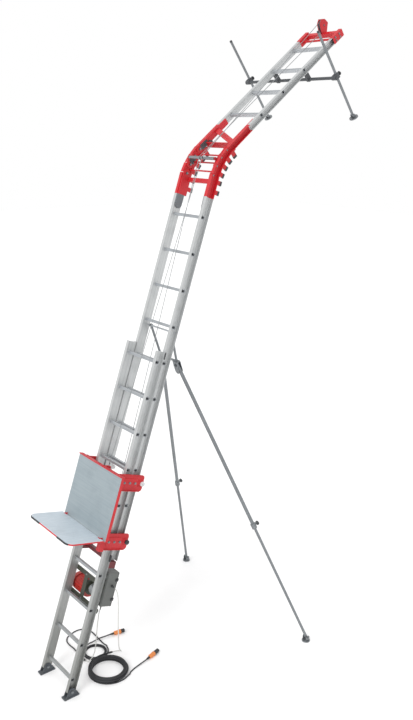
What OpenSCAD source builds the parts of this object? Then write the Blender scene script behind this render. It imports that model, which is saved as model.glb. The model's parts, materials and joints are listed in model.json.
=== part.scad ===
// Ladder hoist for lifting roofing material: two stacked ladders, a jointed knee, a roof section,
// a winch, a lifting carriage with a folding tray, and a splayed prop.
// Frame: X to the right, Y towards the building, Z up, origin on the ground between the ladder feet.

/* [Ladders] */
// Lean of the two ladders from upright, in degrees
lean = 18.3; // [14:0.1:22]
// Spacing of the rungs
rung_pitch = 330; // [300:5:350]
// Height of the first rung along the ladder
first_rung = 160; // [150:5:200]
// Number of rungs in the lower ladder
lower_rungs = 10; // [9:1:11]
// Number of rungs in the upper ladder
upper_rungs = 10; // [9:1:11]
// Number of rungs in the roof section
roof_rungs = 4; // [3:1:5]
// Half width over the webs of the lower rails
lower_half = 208; // [206:0.5:210]
// Half width over the webs of the upper and roof rails
upper_half = 197; // [195:0.5:198]
// Depth of a ladder rail, front to back
rail_depth = 85; // [80:1:88]
// Depth of a roof rail
roof_depth = 60; // [56:1:70]
// Wall of every rail
rail_wall = 3; // [2:0.25:4]
// Reach of a rail flange beyond its web
rail_flange = 30; // [28:0.5:31]
// Gap between the stacked rails
stack_gap = 4; // [3:0.5:6]
// Depth of a rung, front to back
rung_depth = 34; // [28:1:36]
// Height of a rung
rung_height = 26; // [22:1:30]
// Wall of a rung
rung_wall = 2; // [1.5:0.25:3]

/* [Knee] */
// Bend of one knee joint, in degrees
joint_bend = 8.38; // [5:0.02:9]
// Spacing of the knee pins
link_pitch = 87; // [84:0.5:92]
// Radius of a knee pin
knee_pin_r = 8; // [6:0.5:10]
// Half depth of a link plate
plate_half = 36; // [30:0.5:38]
// Thickness of one link plate
plate_t = 6.8; // [5:0.1:8]
// Depth of the stop nose behind the pin line
nose_depth = 58; // [50:1:66]
// Depth of the tooth tip behind the pin line
tooth_depth = 112; // [90:1:130]
// Width of the tooth tip
tooth_w = 38; // [30:1:46]
// Length of the red base below the first pin
base_len = 195; // [180:5:220]
// Length of the red sleeve above the last pin
sleeve_len = 314; // [280:2:340]
// Radius of the rope guide bar on the knee
rope_bar_r = 14; // [11:0.5:16]

/* [Carriage] */
// Width of the carriage
car_w = 690; // [640:10:760]
// Height of the back panel
panel_h = 555; // [480:5:600]
// Depth of the folding tray
tray_depth = 345; // [300:5:380]
// Droop of the tray below square, in degrees
tray_droop = 5.3; // [0:0.1:10]
// Radius of the tray's front corners
tray_corner = 60; // [30:5:90]
// Radius of a rear guide roller
guide_r = 20; // [16:0.5:24]
// Height of a roller bracket
bracket_h = 152; // [120:2:180]

/* [Winch] */
// Radius of the drum core
drum_r = 44; // [38:0.5:48]
// Radius of the drum flanges
flange_r = 74; // [68:0.5:75]
// Length of the drum between its flanges
drum_len = 120; // [116:1:124]
// Diameter of the wire rope
rope_d = 6; // [5.5:0.25:8]
// Turns of rope on the drum
drum_turns = 12; // [8:1:13]
// Gear module
gear_m = 2.5; // [2:0.05:2.5]
// Teeth on the pinion
pinion_teeth = 12; // [10:1:14]
// Teeth on the drum gear
gear_teeth = 31; // [26:1:32]
// Radius over the motor fins
motor_r = 84; // [78:1:86]
// Length of the motor with its fan cowl
motor_len = 207; // [180:1:210]
// Width of the control box
box_w = 110; // [90:2:120]
// Depth of the control box
box_d = 110; // [90:2:130]
// Height of the control box
box_h = 324; // [300:2:340]

/* [Prop] */
// Half spread of the prop feet
foot_spread = 976; // [800:4:1100]
// Distance of the prop feet behind the ladder feet
foot_back = 2290; // [2000:10:2500]
// Outer diameter of the upper prop tube
prop_d = 34; // [31:0.5:36]
// Outer diameter of the lower prop tube
inner_d = 27; // [24:0.5:28]
// Length of the upper prop tube below its pivot
prop_outer = 1800; // [1600:10:2000]
// Length of the lower tube inside the upper one
prop_lap = 700; // [500:10:900]
// Radius of a prop foot pad
prop_pad_r = 40; // [36:1:55]

/* [Roof support] */
// Half length of the roof support bar
bar_half = 600; // [540:5:660]
// Sideways offset of the roof support bar
bar_shift = -55; // [-80:5:0]
// Diameter of the roof support bar
bar_d = 28; // [24:1:34]
// Diameter of a roof leg
roof_leg_d = 24; // [20:1:26]
// Reach of a roof leg above the roof rails' mid plane
leg_above = 340; // [280:5:380]
// Reach of a roof leg below that plane
leg_below = 520; // [420:5:600]
// Radius of the head sheave at the rope's seat
sheave_r = 41; // [36:0.5:44]

/* [Cords] */
// Diameter of the black cord
cord_d = 12; // [10:0.5:12]
// Diameter of the pale leads
lead_d = 9; // [8:0.5:10]

/* [Hidden] */
$fn = 48;

// Clearances: running gap between bodies, pin in its bore, and a seat that only just clears
gap = 0.4;
fit = 0.06;
seat = 0.3;

// Places along the ladder, measured from the ground
lower_start = 51;
lower_end = first_rung + (lower_rungs - 1) * rung_pitch + 102;
upper_first = first_rung + 4 * rung_pitch;
upper_start = upper_first - 185;
upper_last = upper_first + (upper_rungs - 1) * rung_pitch;
upper_end = upper_last + 180;
upper_b = rail_depth + stack_gap;
knee_s = upper_end + base_len;

// Places along the roof section, measured from the last knee pin
roof_first = sleeve_len + 180;
roof_last = roof_first + (roof_rungs - 1) * rung_pitch;
roof_end = roof_last + 250;
bar_along = roof_first + 665;
bar_back = roof_depth / 2 + 73;

// Knee pins as back and along pairs, and the frame of each link
function pin_at(i) =
  i == 0 ? [upper_b, knee_s]
         : pin_at(i - 1) + link_pitch * [sin(i * joint_bend), cos(i * joint_bend)];
function link_depth(i) = rail_depth - i * (rail_depth - roof_depth) / 4;
inner_x = upper_half - rail_wall - 2 * plate_t - gap;
layer_x = inner_x + plate_t + gap;
web_x = upper_half - rail_wall;
rope_bar_off = link_depth(2) / 2 + 12;

// Rope guide bar, head sheave and drum axes as back and along pairs on the ladder
function turn(p, a) = [p[0] * cos(a) + p[1] * sin(a), p[1] * cos(a) - p[0] * sin(a)];
bend = 4 * joint_bend;
rope_bar_at = pin_at(1) + turn([-rope_bar_off, link_pitch / 2], 2 * joint_bend);
sheave_along = roof_end + 25;
sheave_off = -78;
sheave_at = pin_at(3) + turn([sheave_off, sheave_along], bend);
drum_b = 112;
drum_s = first_rung + 2 * rung_pitch + 120;
drum_x = 58;
gear_far = gear_m * (pinion_teeth + gear_teeth) / 2 + 0.15;
motor_aim = 146.3;
motor_b = drum_b + gear_far * sin(motor_aim);
motor_s = drum_s + gear_far * cos(motor_aim);

// Carriage places along and behind the ladder
car_s = upper_start + 120;
car_top = car_s + 700;
panel_b = -155;
panel_t = 3;
panel_s = car_top - panel_h - 10;
bracket_x = lower_half + rail_flange + 5;
bracket_t = 6;
post_w = 40;
guide_b = upper_b + rail_depth / 2 + gap + guide_r;
guide_levels = [car_s + bracket_h / 2, car_top - bracket_h / 2];
hinge_b = panel_b - 22;
hinge_s = panel_s - 16;
panel_foot = hinge_s - 6;
lug_b = -76;
lug_s = car_top - 14;

// Prop pivot, knuckle and foot
prop_rod_b = upper_b + 28;
prop_rod_s = upper_first + 6 * rung_pitch - 45;
prop_rod_r = 8;
knuckle_x = 115;
knuckle_b = prop_rod_b + 195;
knuckle_s = prop_rod_s - 278;
function to_world(x, b, s) = [x, b * cos(lean) + s * sin(lean), s * cos(lean) - b * sin(lean)];
knuckle = to_world(knuckle_x, knuckle_b, knuckle_s);
foot_pin_z = 46;
prop_run = [foot_spread - knuckle_x, foot_back - knuckle[1], foot_pin_z - knuckle[2]];
prop_len = norm(prop_run);
prop_tilt = atan2(prop_run[1], -prop_run[2]);
prop_splay = atan2(prop_run[0], norm([prop_run[1], prop_run[2]]));

// Frames: on the ladder (x, back, along), on a knee link, on the roof section, on the tray
module on_ladder() { rotate([-lean, 0, 0]) children(); }
module on_link(i) {
  p = pin_at(max(i - 1, 0));
  on_ladder() translate([0, p[0], p[1]]) rotate([-i * joint_bend, 0, 0]) children();
}
module on_roof() {
  p = pin_at(3);
  on_ladder() translate([0, p[0], p[1]]) rotate([-bend, 0, 0]) children();
}
module on_tray() {
  on_ladder() translate([0, hinge_b, hinge_s]) rotate([tray_droop, 0, 0]) children();
}
module on_leg(side) {
  translate([side * knuckle[0], knuckle[1], knuckle[2]])
    rotate([prop_tilt, 0, 0]) rotate([0, -side * prop_splay, 0]) children();
}
module both() { children(); mirror([1, 0, 0]) children(); }
module one_side(side) { mirror([side < 0 ? 1 : 0, 0, 0]) children(); }

// Bars: a cylinder along X, a bar between two points, a box between two corners
module rod_x(r, x0, x1) { translate([x0, 0, 0]) rotate([0, 90, 0]) cylinder(r = r, h = x1 - x0); }
module bar(a, b, d) {
  v = b - a;
  translate(a) rotate([0, acos(v[2] / norm(v)), atan2(v[1], v[0])]) cylinder(d = d, h = norm(v));
}
module block(a, b) { translate(a) cube(b - a); }
module ring(r_out, r_in, h) {
  difference() {
    cylinder(r = r_out, h = h);
    translate([0, 0, -1]) cylinder(r = r_in, h = h + 2);
  }
}

// A rectangle with round corners, and a round-ended strip between two points
module round_rect(w, h, r) {
  square([w - 2 * r, h], center = true);
  square([w, h - 2 * r], center = true);
  for (x = [-1, 1], y = [-1, 1]) translate([x * (w / 2 - r), y * (h / 2 - r)]) circle(r);
}
module strip(a, b, r) {
  v = b - a;
  translate(a) circle(r);
  translate(b) circle(r);
  translate(a) rotate(atan2(v[1], v[0])) translate([0, -r]) square([norm(v), 2 * r]);
}

// A flat shape drawn in back and along axes, standing on the YZ plane from x0 to x1
module plate_yz(x0, x1) {
  translate([x0, 0, 0]) rotate([90, 0, 90]) linear_extrude(x1 - x0) children();
}

// Rails and rungs
module channel(half, depth) {
  translate([half - rail_wall, -depth / 2]) square([rail_wall, depth]);
  for (y = [-depth / 2, depth / 2 - rail_wall])
    translate([half - rail_wall, y]) square([rail_flange + rail_wall, rail_wall]);
  for (y = [-1, 1]) translate([half - 1, y * depth / 5 - 1.5]) square([3, 3]);
}
module rail(half, depth, from, to) {
  translate([0, 0, from]) linear_extrude(to - from) channel(half, depth);
}
module rung_shape(grow) {
  round_rect(rung_height + 2 * grow, rung_depth + 2 * grow, 6 + grow);
}
module rung_prism(half, grow) {
  translate([-half, 0, 0]) rotate([0, 90, 0]) linear_extrude(2 * half) rung_shape(grow);
}
module rung_set(half, from, count) {
  for (k = [0 : count - 1]) translate([0, 0, from + k * rung_pitch])
    difference() {
      rung_prism(half + 1, 0);
      rung_prism(half + 2, -rung_wall);
    }
}
module rail_pair(half, depth, from, to, first, count) {
  difference() {
    both() rail(half, depth, from, to);
    for (k = [0 : count - 1]) translate([0, 0, first + k * rung_pitch]) rung_prism(half + 5, 0);
  }
}

// Tubes swept along points, with a frame carried from ring to ring
function unit(v) = v / norm(v);
function tangent(p, i) = unit(p[min(i + 1, len(p) - 1)] - p[max(i - 1, 0)]);
function carry(n, t) = unit(n - (n * t) * t);
function side_of(t) = abs(t[2]) < 0.8 ? [0, 0, 1] : [1, 0, 0];
function frames(p) = [
  for (i = 0, n = carry(side_of(tangent(p, 0)), tangent(p, 0)); i < len(p);
       i = i + 1, n = i < len(p) ? carry(n, tangent(p, i)) : n) n
];
module tube(p, d, sides) {
  f = frames(p);
  pts = [
    for (i = [0 : len(p) - 1], k = [0 : sides - 1])
      let (t = tangent(p, i), n = f[i], m = cross(t, n), a = 360 * k / sides)
        p[i] + d / 2 * (cos(a) * n + sin(a) * m)
  ];
  last = (len(p) - 1) * sides;
  walls = [
    for (i = [0 : len(p) - 2], k = [0 : sides - 1], h = [0, 1])
      let (a = i * sides + k, b = i * sides + (k + 1) % sides)
        h == 0 ? [a, a + sides, b] : [b, a + sides, b + sides]
  ];
  caps = [[for (k = [0 : sides - 1]) k], [for (k = [0 : sides - 1]) last + sides - 1 - k]];
  polyhedron(pts, concat(walls, caps), convexity = 10);
}

// A smooth curve through hand-chosen points
function spline(p, steps) = concat([
  for (i = [0 : len(p) - 2], k = [0 : steps - 1])
    let (a = p[max(i - 1, 0)], b = p[i], c = p[i + 1], d = p[min(i + 2, len(p) - 1)], t = k / steps)
      0.5 * (2 * b + t * (c - a) + t * t * (2 * a - 5 * b + 4 * c - d) + t * t * t * (3 * b - a - 3 * c + d))
], [p[len(p) - 1]]);

// Piled coil: the radius runs in and out, the height climbs where it turns back
function wave(t, n) = let (m = t % (2 * n)) m < n ? m : 2 * n - m;
function ease(t) = let (c = max(0, min(1, t))) c * c * (3 - 2 * c);
function climb(t, n, layers) =
  let (s = [for (j = [1 : layers - 1]) ease((t - j * n + 0.25) / 0.5)]) s * [for (v = s) 1];
function lead_out(t, turns, reach) =
  reach * (pow(max(0, 1 - t / 0.25), 2) + pow(max(0, 1 - (turns - t) / 0.25), 2));
coil_rings = 24;
coil_step = 13;
layer_step = 12.7;
coil_reach = 18;
function coil_points(centre, r, n, layers, turns, start, hand) =
  let (rise = cord_d / 2)
  [for (i = [0 : floor(turns * coil_rings)])
    let (t = i / coil_rings, a = start + hand * 360 * t,
         q = r - coil_step * wave(min(t, n * layers - 0.001), n) + lead_out(t, turns, coil_reach))
      [centre[0] + q * cos(a), centre[1] + q * sin(a), rise + layer_step * climb(t, n, layers)]];
function straight_ends(p, reach) = let (e = len(p) - 1)
  concat([p[0] + reach * unit(p[0] - p[1])], p, [p[e] + reach * unit(p[e] - p[e - 1])]);
function self_gap(p, d, skip) =
  min([for (i = [0 : len(p) - 1 - skip], j = [i + skip : len(p) - 1]) norm(p[i] - p[j])]) - d;

// Cord routes in world millimetres
coil_large_at = [140, 470];
coil_large_turns = 11 + 2 / 3;
coil_small_at = [-166, 518];
coil_small_turns = 3.75;
coil_large_pts = straight_ends(coil_points(coil_large_at, 189, 3, 4, coil_large_turns, 32, -1), cord_d);
coil_small_pts = straight_ends(coil_points(coil_small_at, 119, 2, 2, coil_small_turns, 90, -1), cord_d);
connector_len = 50;
connector_d = 20;
function last_of(p) = p[len(p) - 1];
function past_end(p, reach, up) =
  last_of(p) + reach * unit(last_of(p) - p[len(p) - 2]) + [0, 0, up];
function before_start(p, reach) = p[0] + reach * unit(p[0] - p[1]);
butt = 0.5;
function supply_end(reach, up) = past_end(coil_large_pts, connector_len + reach, up);
joint_large = [last_of(coil_large_pts), supply_end(0, 0)];
gland_len = 26;
box_s = 876;
gland_supply = [lower_half + box_w / 2 - 2 + gland_len, 450, 984];
gland_pendant = to_world(lower_half - 3, 103, box_s - gland_len);
supply_route = concat(
  [gland_supply + [butt, 0, 0], gland_supply + [20, 0, 0]],
  [[332, 449, 977], [352, 448, 957], [363, 447, 925], [367, 447, 870], [358, 452, 760], [330, 467, 580],
   [278, 503, 410], [215, 545, 290], [152, 592, 195], [100, 632, 132], [62, 657, 94], [34, 664, 70],
   [12, 655, 54]],
  [supply_end(24, 2), supply_end(12, 0), supply_end(butt, 0)]);
joint_small = [[-110, 374, 10], [-160, 370, 10]];
pendant_route = concat(
  [for (reach = [butt, 20]) gland_pendant - reach * [0, sin(lean), cos(lean)]],
  [[203, 345, 715], [196, 334, 620], [178, 332, 500], [146, 340, 370], [96, 356, 250], [40, 370, 156],
   [-8, 378, 92], [-48, 381, 44], [-74, 378, 19], [-96, 375, 11]],
  [joint_small[0] + [butt, 0, 0]]);
loop_route = [joint_small[1] - [butt, 0, 0], [-176, 369, 9], [-215, 370, 6], [-275, 378, 6], [-345, 384, 6],
  [-420, 378, 6], [-490, 388, 6], [-542, 430, 6], [-570, 500, 6], [-576, 570, 6], [-545, 630, 6],
  [-480, 660, 6], [-390, 662, 6], [-300, 656, 6], [-230, 655, 6],
  before_start(coil_small_pts, 14), before_start(coil_small_pts, butt)];
plug_d = 44;
plug_z = plug_d / 2 + 0.5;
plug_large_at = [248, 842, plug_z];
plug_large_tip = [203, 1007, plug_z];
plug_small_at = [-294, 778, plug_z];
plug_small_tip = [-268, 926, plug_z];
function to_plug(at, tip) = [for (reach = [22, butt]) at - reach * unit(tip - at)];
function from_coil(p) = [for (reach = [butt, 14]) before_start(p, reach)];
tail_large_route = concat(
  from_coil(coil_large_pts), [[288, 628, 6], [266, 690, 6], [256, 765, 13]],
  to_plug(plug_large_at, plug_large_tip));
tail_small_route = concat(
  [for (reach = [butt, 14]) past_end(coil_small_pts, reach, 0)],
  [[-303, 566, 20], [-309, 612, 20], [-309, 668, 22], [-304, 718, 20]],
  to_plug(plug_small_at, plug_small_tip));

// Drum winding: one outer layer of rope round the core
wind_r = (drum_r + rope_d / 2 + seat) / cos(7.5);
wind_pitch = rope_d + 0.7;
wind_x = drum_x - drum_turns * wind_pitch / 2;
function wind_points() = [
  for (i = [0 : drum_turns * 24]) let (a = -i * 15)
    [wind_x + wind_pitch * i / 24, drum_b - wind_r * cos(a), drum_s - wind_r * sin(a)]
];
wind_pts = straight_ends(wind_points(), rope_d);

// Wire rope over the knee guide bar and the head sheave, as back and along pairs
rope_r = rope_d / 2;
function tangent_dir(a, b, ra, rb, hand) =
  let (v = b - a, base = atan2(v[0], v[1]), off = asin((rb - ra) / norm(v))) base - hand * (90 + off);
function on_circle(c, r, a) = c + r * [sin(a), cos(a)];
ride = rope_bar_r + rope_r + seat;
sheave_ride = (sheave_r + rope_r + seat) / cos(6.6);
rope_start = last_of(wind_pts);
haul_from = [rope_start[1], rope_start[2]];
haul_a = tangent_dir(haul_from, rope_bar_at, 0, ride, 1);
roof_haul_a = tangent_dir(rope_bar_at, sheave_at, ride, -sheave_ride, 1);
roof_load_a = tangent_dir(rope_bar_at, sheave_at, ride, sheave_ride, 1);
load_to = [lug_b, lug_s + 12];
load_a = tangent_dir(load_to, rope_bar_at, 0, ride, 1);
haul_x = -20;
load_x = 20;
function arc(c, r, a0, a1, n) = [for (i = [0 : n]) on_circle(c, r, a0 + (a1 - a0) * i / n)];
function lay(p, x) = [for (q = p) to_world(x, q[0], q[1])];
haul_end = on_circle(rope_bar_at, ride, haul_a);
load_end = on_circle(rope_bar_at, ride, load_a);
rope_roof_pts = concat(
  lay(arc(rope_bar_at, ride, haul_a, roof_haul_a, 5), haul_x),
  lay(arc(sheave_at, sheave_ride, roof_haul_a + 180, roof_load_a, 14), 0),
  lay(arc(rope_bar_at, ride, roof_load_a, load_a, 5), load_x));

echo(large_coil_gap = self_gap(coil_large_pts, cord_d, 12));
echo(small_coil_gap = self_gap(coil_small_pts, cord_d, 12));
echo(drum_gap = self_gap(wind_pts, rope_d, 12));

// Lower ladder
module lower_rails() {
  color("#c3c6c8") on_ladder()
    difference() {
      rail_pair(lower_half, rail_depth, lower_start, lower_end, first_rung, lower_rungs);
      translate([0, 0, shoe_pin_s]) rod_x(shoe_pin_r, -lower_half - 5, lower_half + 5);
    }
}
module lower_rungs() { color("#d4d6d8") on_ladder() rung_set(lower_half, first_rung, lower_rungs); }

// Clips at the head of the lower rails, hooked over the front flange of the upper rails
guide_len = 62;
clip_t = 3;
module clip(flange_b, tip, reach, hand) {
  hook_b = flange_b + hand * (stack_gap + rail_wall + gap);
  block([tip - 20, min(flange_b, flange_b + hand * (stack_gap - gap)), 0],
        [tip, max(flange_b, flange_b + hand * (stack_gap - gap)), guide_len]);
  block([tip, min(flange_b - hand * rail_wall, hook_b + hand * clip_t), 0],
        [tip + clip_t, max(flange_b - hand * rail_wall, hook_b + hand * clip_t), guide_len]);
  block([tip + clip_t - reach, min(hook_b, hook_b + hand * clip_t), 0],
        [tip + clip_t, max(hook_b, hook_b + hand * clip_t), guide_len]);
}
module lower_guides() {
  color("#3a3c3f") on_ladder() both() translate([0, 0, lower_end - guide_len])
    clip(rail_depth / 2, lower_half + rail_flange, 24, 1);
}

// Swivelling shoe under a lower rail
shoe_pin_s = 63;
shoe_pin_r = 7;
shoe_pin = to_world(0, 0, shoe_pin_s);
shoe_in = lower_half - rail_wall - 8;
shoe_out = lower_half + rail_flange + 8;
module ladder_shoe() {
  block([shoe_in - 6, shoe_pin[1] - 78, 0], [shoe_out + 6, shoe_pin[1] + 72, 14]);
  for (x = [shoe_in, shoe_out - 6]) translate([0, shoe_pin[1], 0]) plate_yz(x, x + 6) {
    translate([0, shoe_pin[2]]) circle(36);
    polygon([[-62, 7], [58, 7], [33, shoe_pin[2] + 14], [-33, shoe_pin[2] + 14]]);
  }
  translate([0, shoe_pin[1], shoe_pin[2]]) {
    rod_x(shoe_pin_r - fit, shoe_in, shoe_out);
    rod_x(shoe_pin_r + 4, shoe_out - 1, shoe_out + 5);
    rod_x(shoe_pin_r + 4, shoe_in - 5, shoe_in + 1);
  }
}
module ladder_foot(side) { color("#4b4e52") one_side(side) ladder_shoe(); }
module ladder_foot_left() { ladder_foot(-1); }
module ladder_foot_right() { ladder_foot(1); }

// Winch: cross bars on the lower rails, a foot strap and a bearing plate
frame_t = 12;
strap_t = 6;
frame_b = rail_depth / 2;
gear_x = -52;
gear_w = 28;
case_x = [-63, -10];
case_wall = 5;
bearing_x = drum_x + drum_len / 2 + 6 + 0.5;
shaft_r = 12;
bar_s = [drum_s - 135, drum_s + 95];
bar_h = 40;
module winch_frame() {
  color("#33352c") on_ladder() {
    for (s = bar_s)
      block([-lower_half - rail_flange, frame_b, s],
            [lower_half + rail_flange, frame_b + frame_t, s + bar_h]);
    block([case_x[0], frame_b, bar_s[0]], [case_x[1], frame_b + strap_t, bar_s[1] + bar_h]);
    block([bearing_x, frame_b, bar_s[0]], [bearing_x + 30, frame_b + strap_t, bar_s[1] + bar_h]);
    difference() {
      plate_yz(bearing_x, bearing_x + 8) {
        strip([drum_b, drum_s], [drum_b, drum_s + 0.1], 40);
        polygon([[frame_b, drum_s - 90], [frame_b, drum_s + 90], [drum_b + 10, drum_s + 39],
                 [drum_b + 10, drum_s - 39]]);
      }
      translate([0, drum_b, drum_s]) rod_x(shaft_r + fit, bearing_x - 1, bearing_x + 9);
    }
  }
}

// Bar across the rails that the upper ladder stands on when it is drawn in
module stop_bar() {
  top = upper_start - gap;
  color("#6d262b") on_ladder() {
    block([-lower_half - rail_flange, frame_b + 32, top - 34], [lower_half + rail_flange, frame_b + 72, top]);
    both() block([lower_half, frame_b, top - 60], [lower_half + rail_flange, frame_b + 72, top]);
  }
}

// Motor: finned body along X, flange on the gear case, fan cowl with slots seated on the end bell
motor_x = case_x[0];
cowl_len = 38;
motor_shaft_r = 8;
fin_t = 3;
motor_end = motor_x - motor_len;
module motor_body() {
  difference() {
    union() {
      rod_x(motor_r - 12, motor_end + cowl_len - 2, motor_x);
      rod_x(motor_r - 4, motor_x - 8, motor_x);
      rod_x(motor_r - 5, motor_end + cowl_len - 12, motor_end + cowl_len);
      for (k = [0 : 17]) rotate([k * 20, 0, 0])
        block([motor_end + cowl_len + 2, -fin_t / 2, 0], [motor_x - 7, fin_t / 2, motor_r]);
      block([motor_x - 100, motor_r - 25, -32], [motor_x - 32, motor_r + 22, 32]);
    }
    rod_x(motor_shaft_r + fit, motor_x - 30, motor_x + 1);
  }
}
module motor_cowl() {
  difference() {
    rod_x(motor_r - 1, motor_end, motor_end + cowl_len + 1);
    rod_x(motor_r - 5 + seat, motor_end + 4, motor_end + cowl_len + 2);
    for (k = [0 : 11]) rotate([k * 30, 0, 0])
      block([motor_end - 1, -3, 22], [motor_end + 5, 3, motor_r - 14]);
  }
}
module motor_housing() {
  color("#c8313a") on_ladder() translate([0, motor_b, motor_s]) {
    motor_body();
    motor_cowl();
  }
}

// Gear case round the drum gear and the motor pinion
module case_shape(grow) {
  aim = [motor_b - drum_b, motor_s - drum_s];
  translate([drum_b, drum_s]) {
    circle(46 + grow);
    translate(aim) circle(34 + grow);
    rotate(90 - motor_aim) translate([0, -33 - grow]) square([gear_far, 66 + 2 * grow]);
  }
}
module gearbox_housing() {
  color("#3c3f33") on_ladder() difference() {
    union() {
      plate_yz(case_x[0], case_x[1] - case_wall) case_shape(6);
      block([case_x[0], frame_b + strap_t, drum_s - 34],
            [case_x[1] - case_wall, drum_b - 30, drum_s + 34]);
    }
    plate_yz(case_x[0] + case_wall, case_x[1]) case_shape(0);
    translate([0, drum_b, drum_s]) rod_x(shaft_r + fit, case_x[0] - 1, case_x[0] + 9);
    translate([0, motor_b, motor_s]) rod_x(motor_shaft_r + fit, case_x[0] - 1, case_x[0] + 9);
  }
}
module gearbox_cover() {
  color("#44483a") on_ladder() difference() {
    plate_yz(case_x[1] - case_wall, case_x[1]) case_shape(6);
    translate([0, drum_b, drum_s]) rod_x(shaft_r + fit, case_x[1] - 9, case_x[1] + 1);
  }
}

// Spur gears with straight-flanked teeth
module gear_shape(teeth, phase) {
  r = gear_m * teeth / 2;
  step = 360 / teeth;
  circle(r - 1.2 * gear_m, $fn = 2 * teeth);
  for (k = [0 : teeth - 1]) rotate(k * step + phase) polygon([
    [r - 1.6 * gear_m, -gear_m * 1.02], [r + 0.9 * gear_m, -gear_m * 0.36],
    [r + 0.9 * gear_m, gear_m * 0.36], [r - 1.6 * gear_m, gear_m * 1.02]]);
}
mesh_aim = 90 - motor_aim;
module motor_pinion() {
  color("#9a9da0") on_ladder() translate([0, motor_b, motor_s]) {
    plate_yz(gear_x, gear_x + gear_w)
      gear_shape(pinion_teeth, mesh_aim + 180 + 180 / pinion_teeth);
    rod_x(motor_shaft_r, case_x[0] - 26, gear_x + gear_w);
  }
}
module drum_shaft() {
  color("#9a9da0") on_ladder() translate([0, drum_b, drum_s]) {
    plate_yz(gear_x, gear_x + gear_w) gear_shape(gear_teeth, mesh_aim);
    rod_x(shaft_r, case_x[0], bearing_x + 16);
  }
}
module winch_drum() {
  x0 = drum_x - drum_len / 2;
  x1 = drum_x + drum_len / 2;
  anchor = rope_d / 2 - 0.3;
  color("#33352c") on_ladder() translate([0, drum_b, drum_s]) difference() {
    union() {
      rod_x(drum_r, x0, x1);
      rod_x(flange_r, x0 - 6, x0);
      rod_x(flange_r, x1, x1 + 6);
      block([wind_x - anchor, -wind_r - 5, -rope_d - 16], [wind_x + anchor, -drum_r + 12, -rope_d - 0.4]);
    }
    rod_x(shaft_r, x0 - 7, x1 + 7);
  }
}
module drum_winding() { color("#8d9092") on_ladder() tube(wind_pts, rope_d, 6); }

// Control box on the right rail, with a screwed lid behind
box_x = [lower_half + box_w / 2 - 2 - box_w, lower_half + box_w / 2 - 2];
box_b = frame_b + frame_t + 1.5;
lid_t = 5;
module box_outline(grow) {
  translate([(box_x[0] + box_x[1]) / 2, box_s + box_h / 2])
    round_rect(box_w + 2 * grow, box_h + 2 * grow, 10 + grow);
}
module box_prism(b0, b1, grow) {
  translate([0, b1, 0]) rotate([90, 0, 0]) linear_extrude(b1 - b0) box_outline(grow);
}
module box_shell() {
  difference() {
    union() {
      box_prism(box_b, box_b + box_d - lid_t, 0);
      for (s = [box_s + 40, box_s + box_h - 70])
        block([lower_half, frame_b, s], [lower_half + rail_flange, box_b + 1, s + 30]);
    }
    box_prism(box_b + 4, box_b + box_d, -4);
  }
}
module control_box() {
  color("#6f7274") on_ladder() {
    box_shell();
    translate([0, seat, 0]) box_prism(box_b + box_d - lid_t, box_b + box_d, 1);
    for (x = [box_x[0] + 12, box_x[1] - 12], s = [box_s + 14, box_s + box_h - 14])
      translate([x, box_b + box_d + 2, s]) rotate([90, 0, 0]) cylinder(r = 5, h = 4);
  }
}
module gland() {
  cylinder(r = 13, h = 8, $fn = 6);
  cylinder(r = 9, h = gland_len);
}
module cord_fittings() {
  color("#2b2d2f") {
    translate(gland_supply) rotate([0, 90, 0]) translate([0, 0, -gland_len]) gland();
    translate(gland_pendant) rotate([180 - lean, 0, 0]) translate([0, 0, -gland_len]) gland();
    bar(joint_large[0], joint_large[1], connector_d);
    bar(joint_small[0], joint_small[1], connector_d);
  }
}

// Cords: pale leads from the box, black coils and tails on the ground, orange plugs
module lead_supply() { color("#d8d8d6") tube(spline(supply_route, 2), lead_d, 8); }
module lead_pendant() { color("#d8d8d6") tube(spline(pendant_route, 2), lead_d, 8); }
module coil_large() { color("#2a2b2e") tube(coil_large_pts, cord_d, 6); }
module coil_small() { color("#2a2b2e") tube(coil_small_pts, cord_d, 6); }
module cord_loop() { color("#2a2b2e") tube(spline(loop_route, 2), cord_d, 8); }
module cord_tails() {
  color("#2a2b2e") {
    tube(spline(tail_large_route, 2), cord_d, 8);
    tube(spline(tail_small_route, 2), cord_d, 8);
  }
}
module plug(a, b) {
  v = unit(b - a);
  bar(a, a + 40 * v, 24);
  bar(a + 38 * v, a + 110 * v, plug_d);
  bar(a + 108 * v, b, plug_d - 6);
}
module cord_plugs() {
  color("#d8703a") {
    plug(plug_large_at, plug_large_tip);
    plug(plug_small_at, plug_small_tip);
  }
}

// Upper ladder, stacked behind the lower one
module upper_rails() {
  color("#c3c6c8") on_ladder() translate([0, upper_b, 0]) difference() {
    rail_pair(upper_half, rail_depth, upper_start, upper_end, upper_first, upper_rungs);
    translate([0, prop_rod_b - upper_b, prop_rod_s]) rod_x(prop_rod_r, -upper_half - 5, upper_half + 5);
  }
}
module upper_rungs() {
  color("#d4d6d8") on_ladder() {
    translate([0, upper_b, 0]) rung_set(upper_half, upper_first, upper_rungs);
    translate([0, prop_rod_b, prop_rod_s]) rod_x(prop_rod_r, -upper_half - 2, upper_half + 2);
  }
}
module upper_guides() {
  color("#3a3c3f") on_ladder() both() translate([0, 0, upper_start])
    clip(upper_b - rail_depth / 2, lower_half + rail_flange + gap, 18, -1);
}

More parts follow.
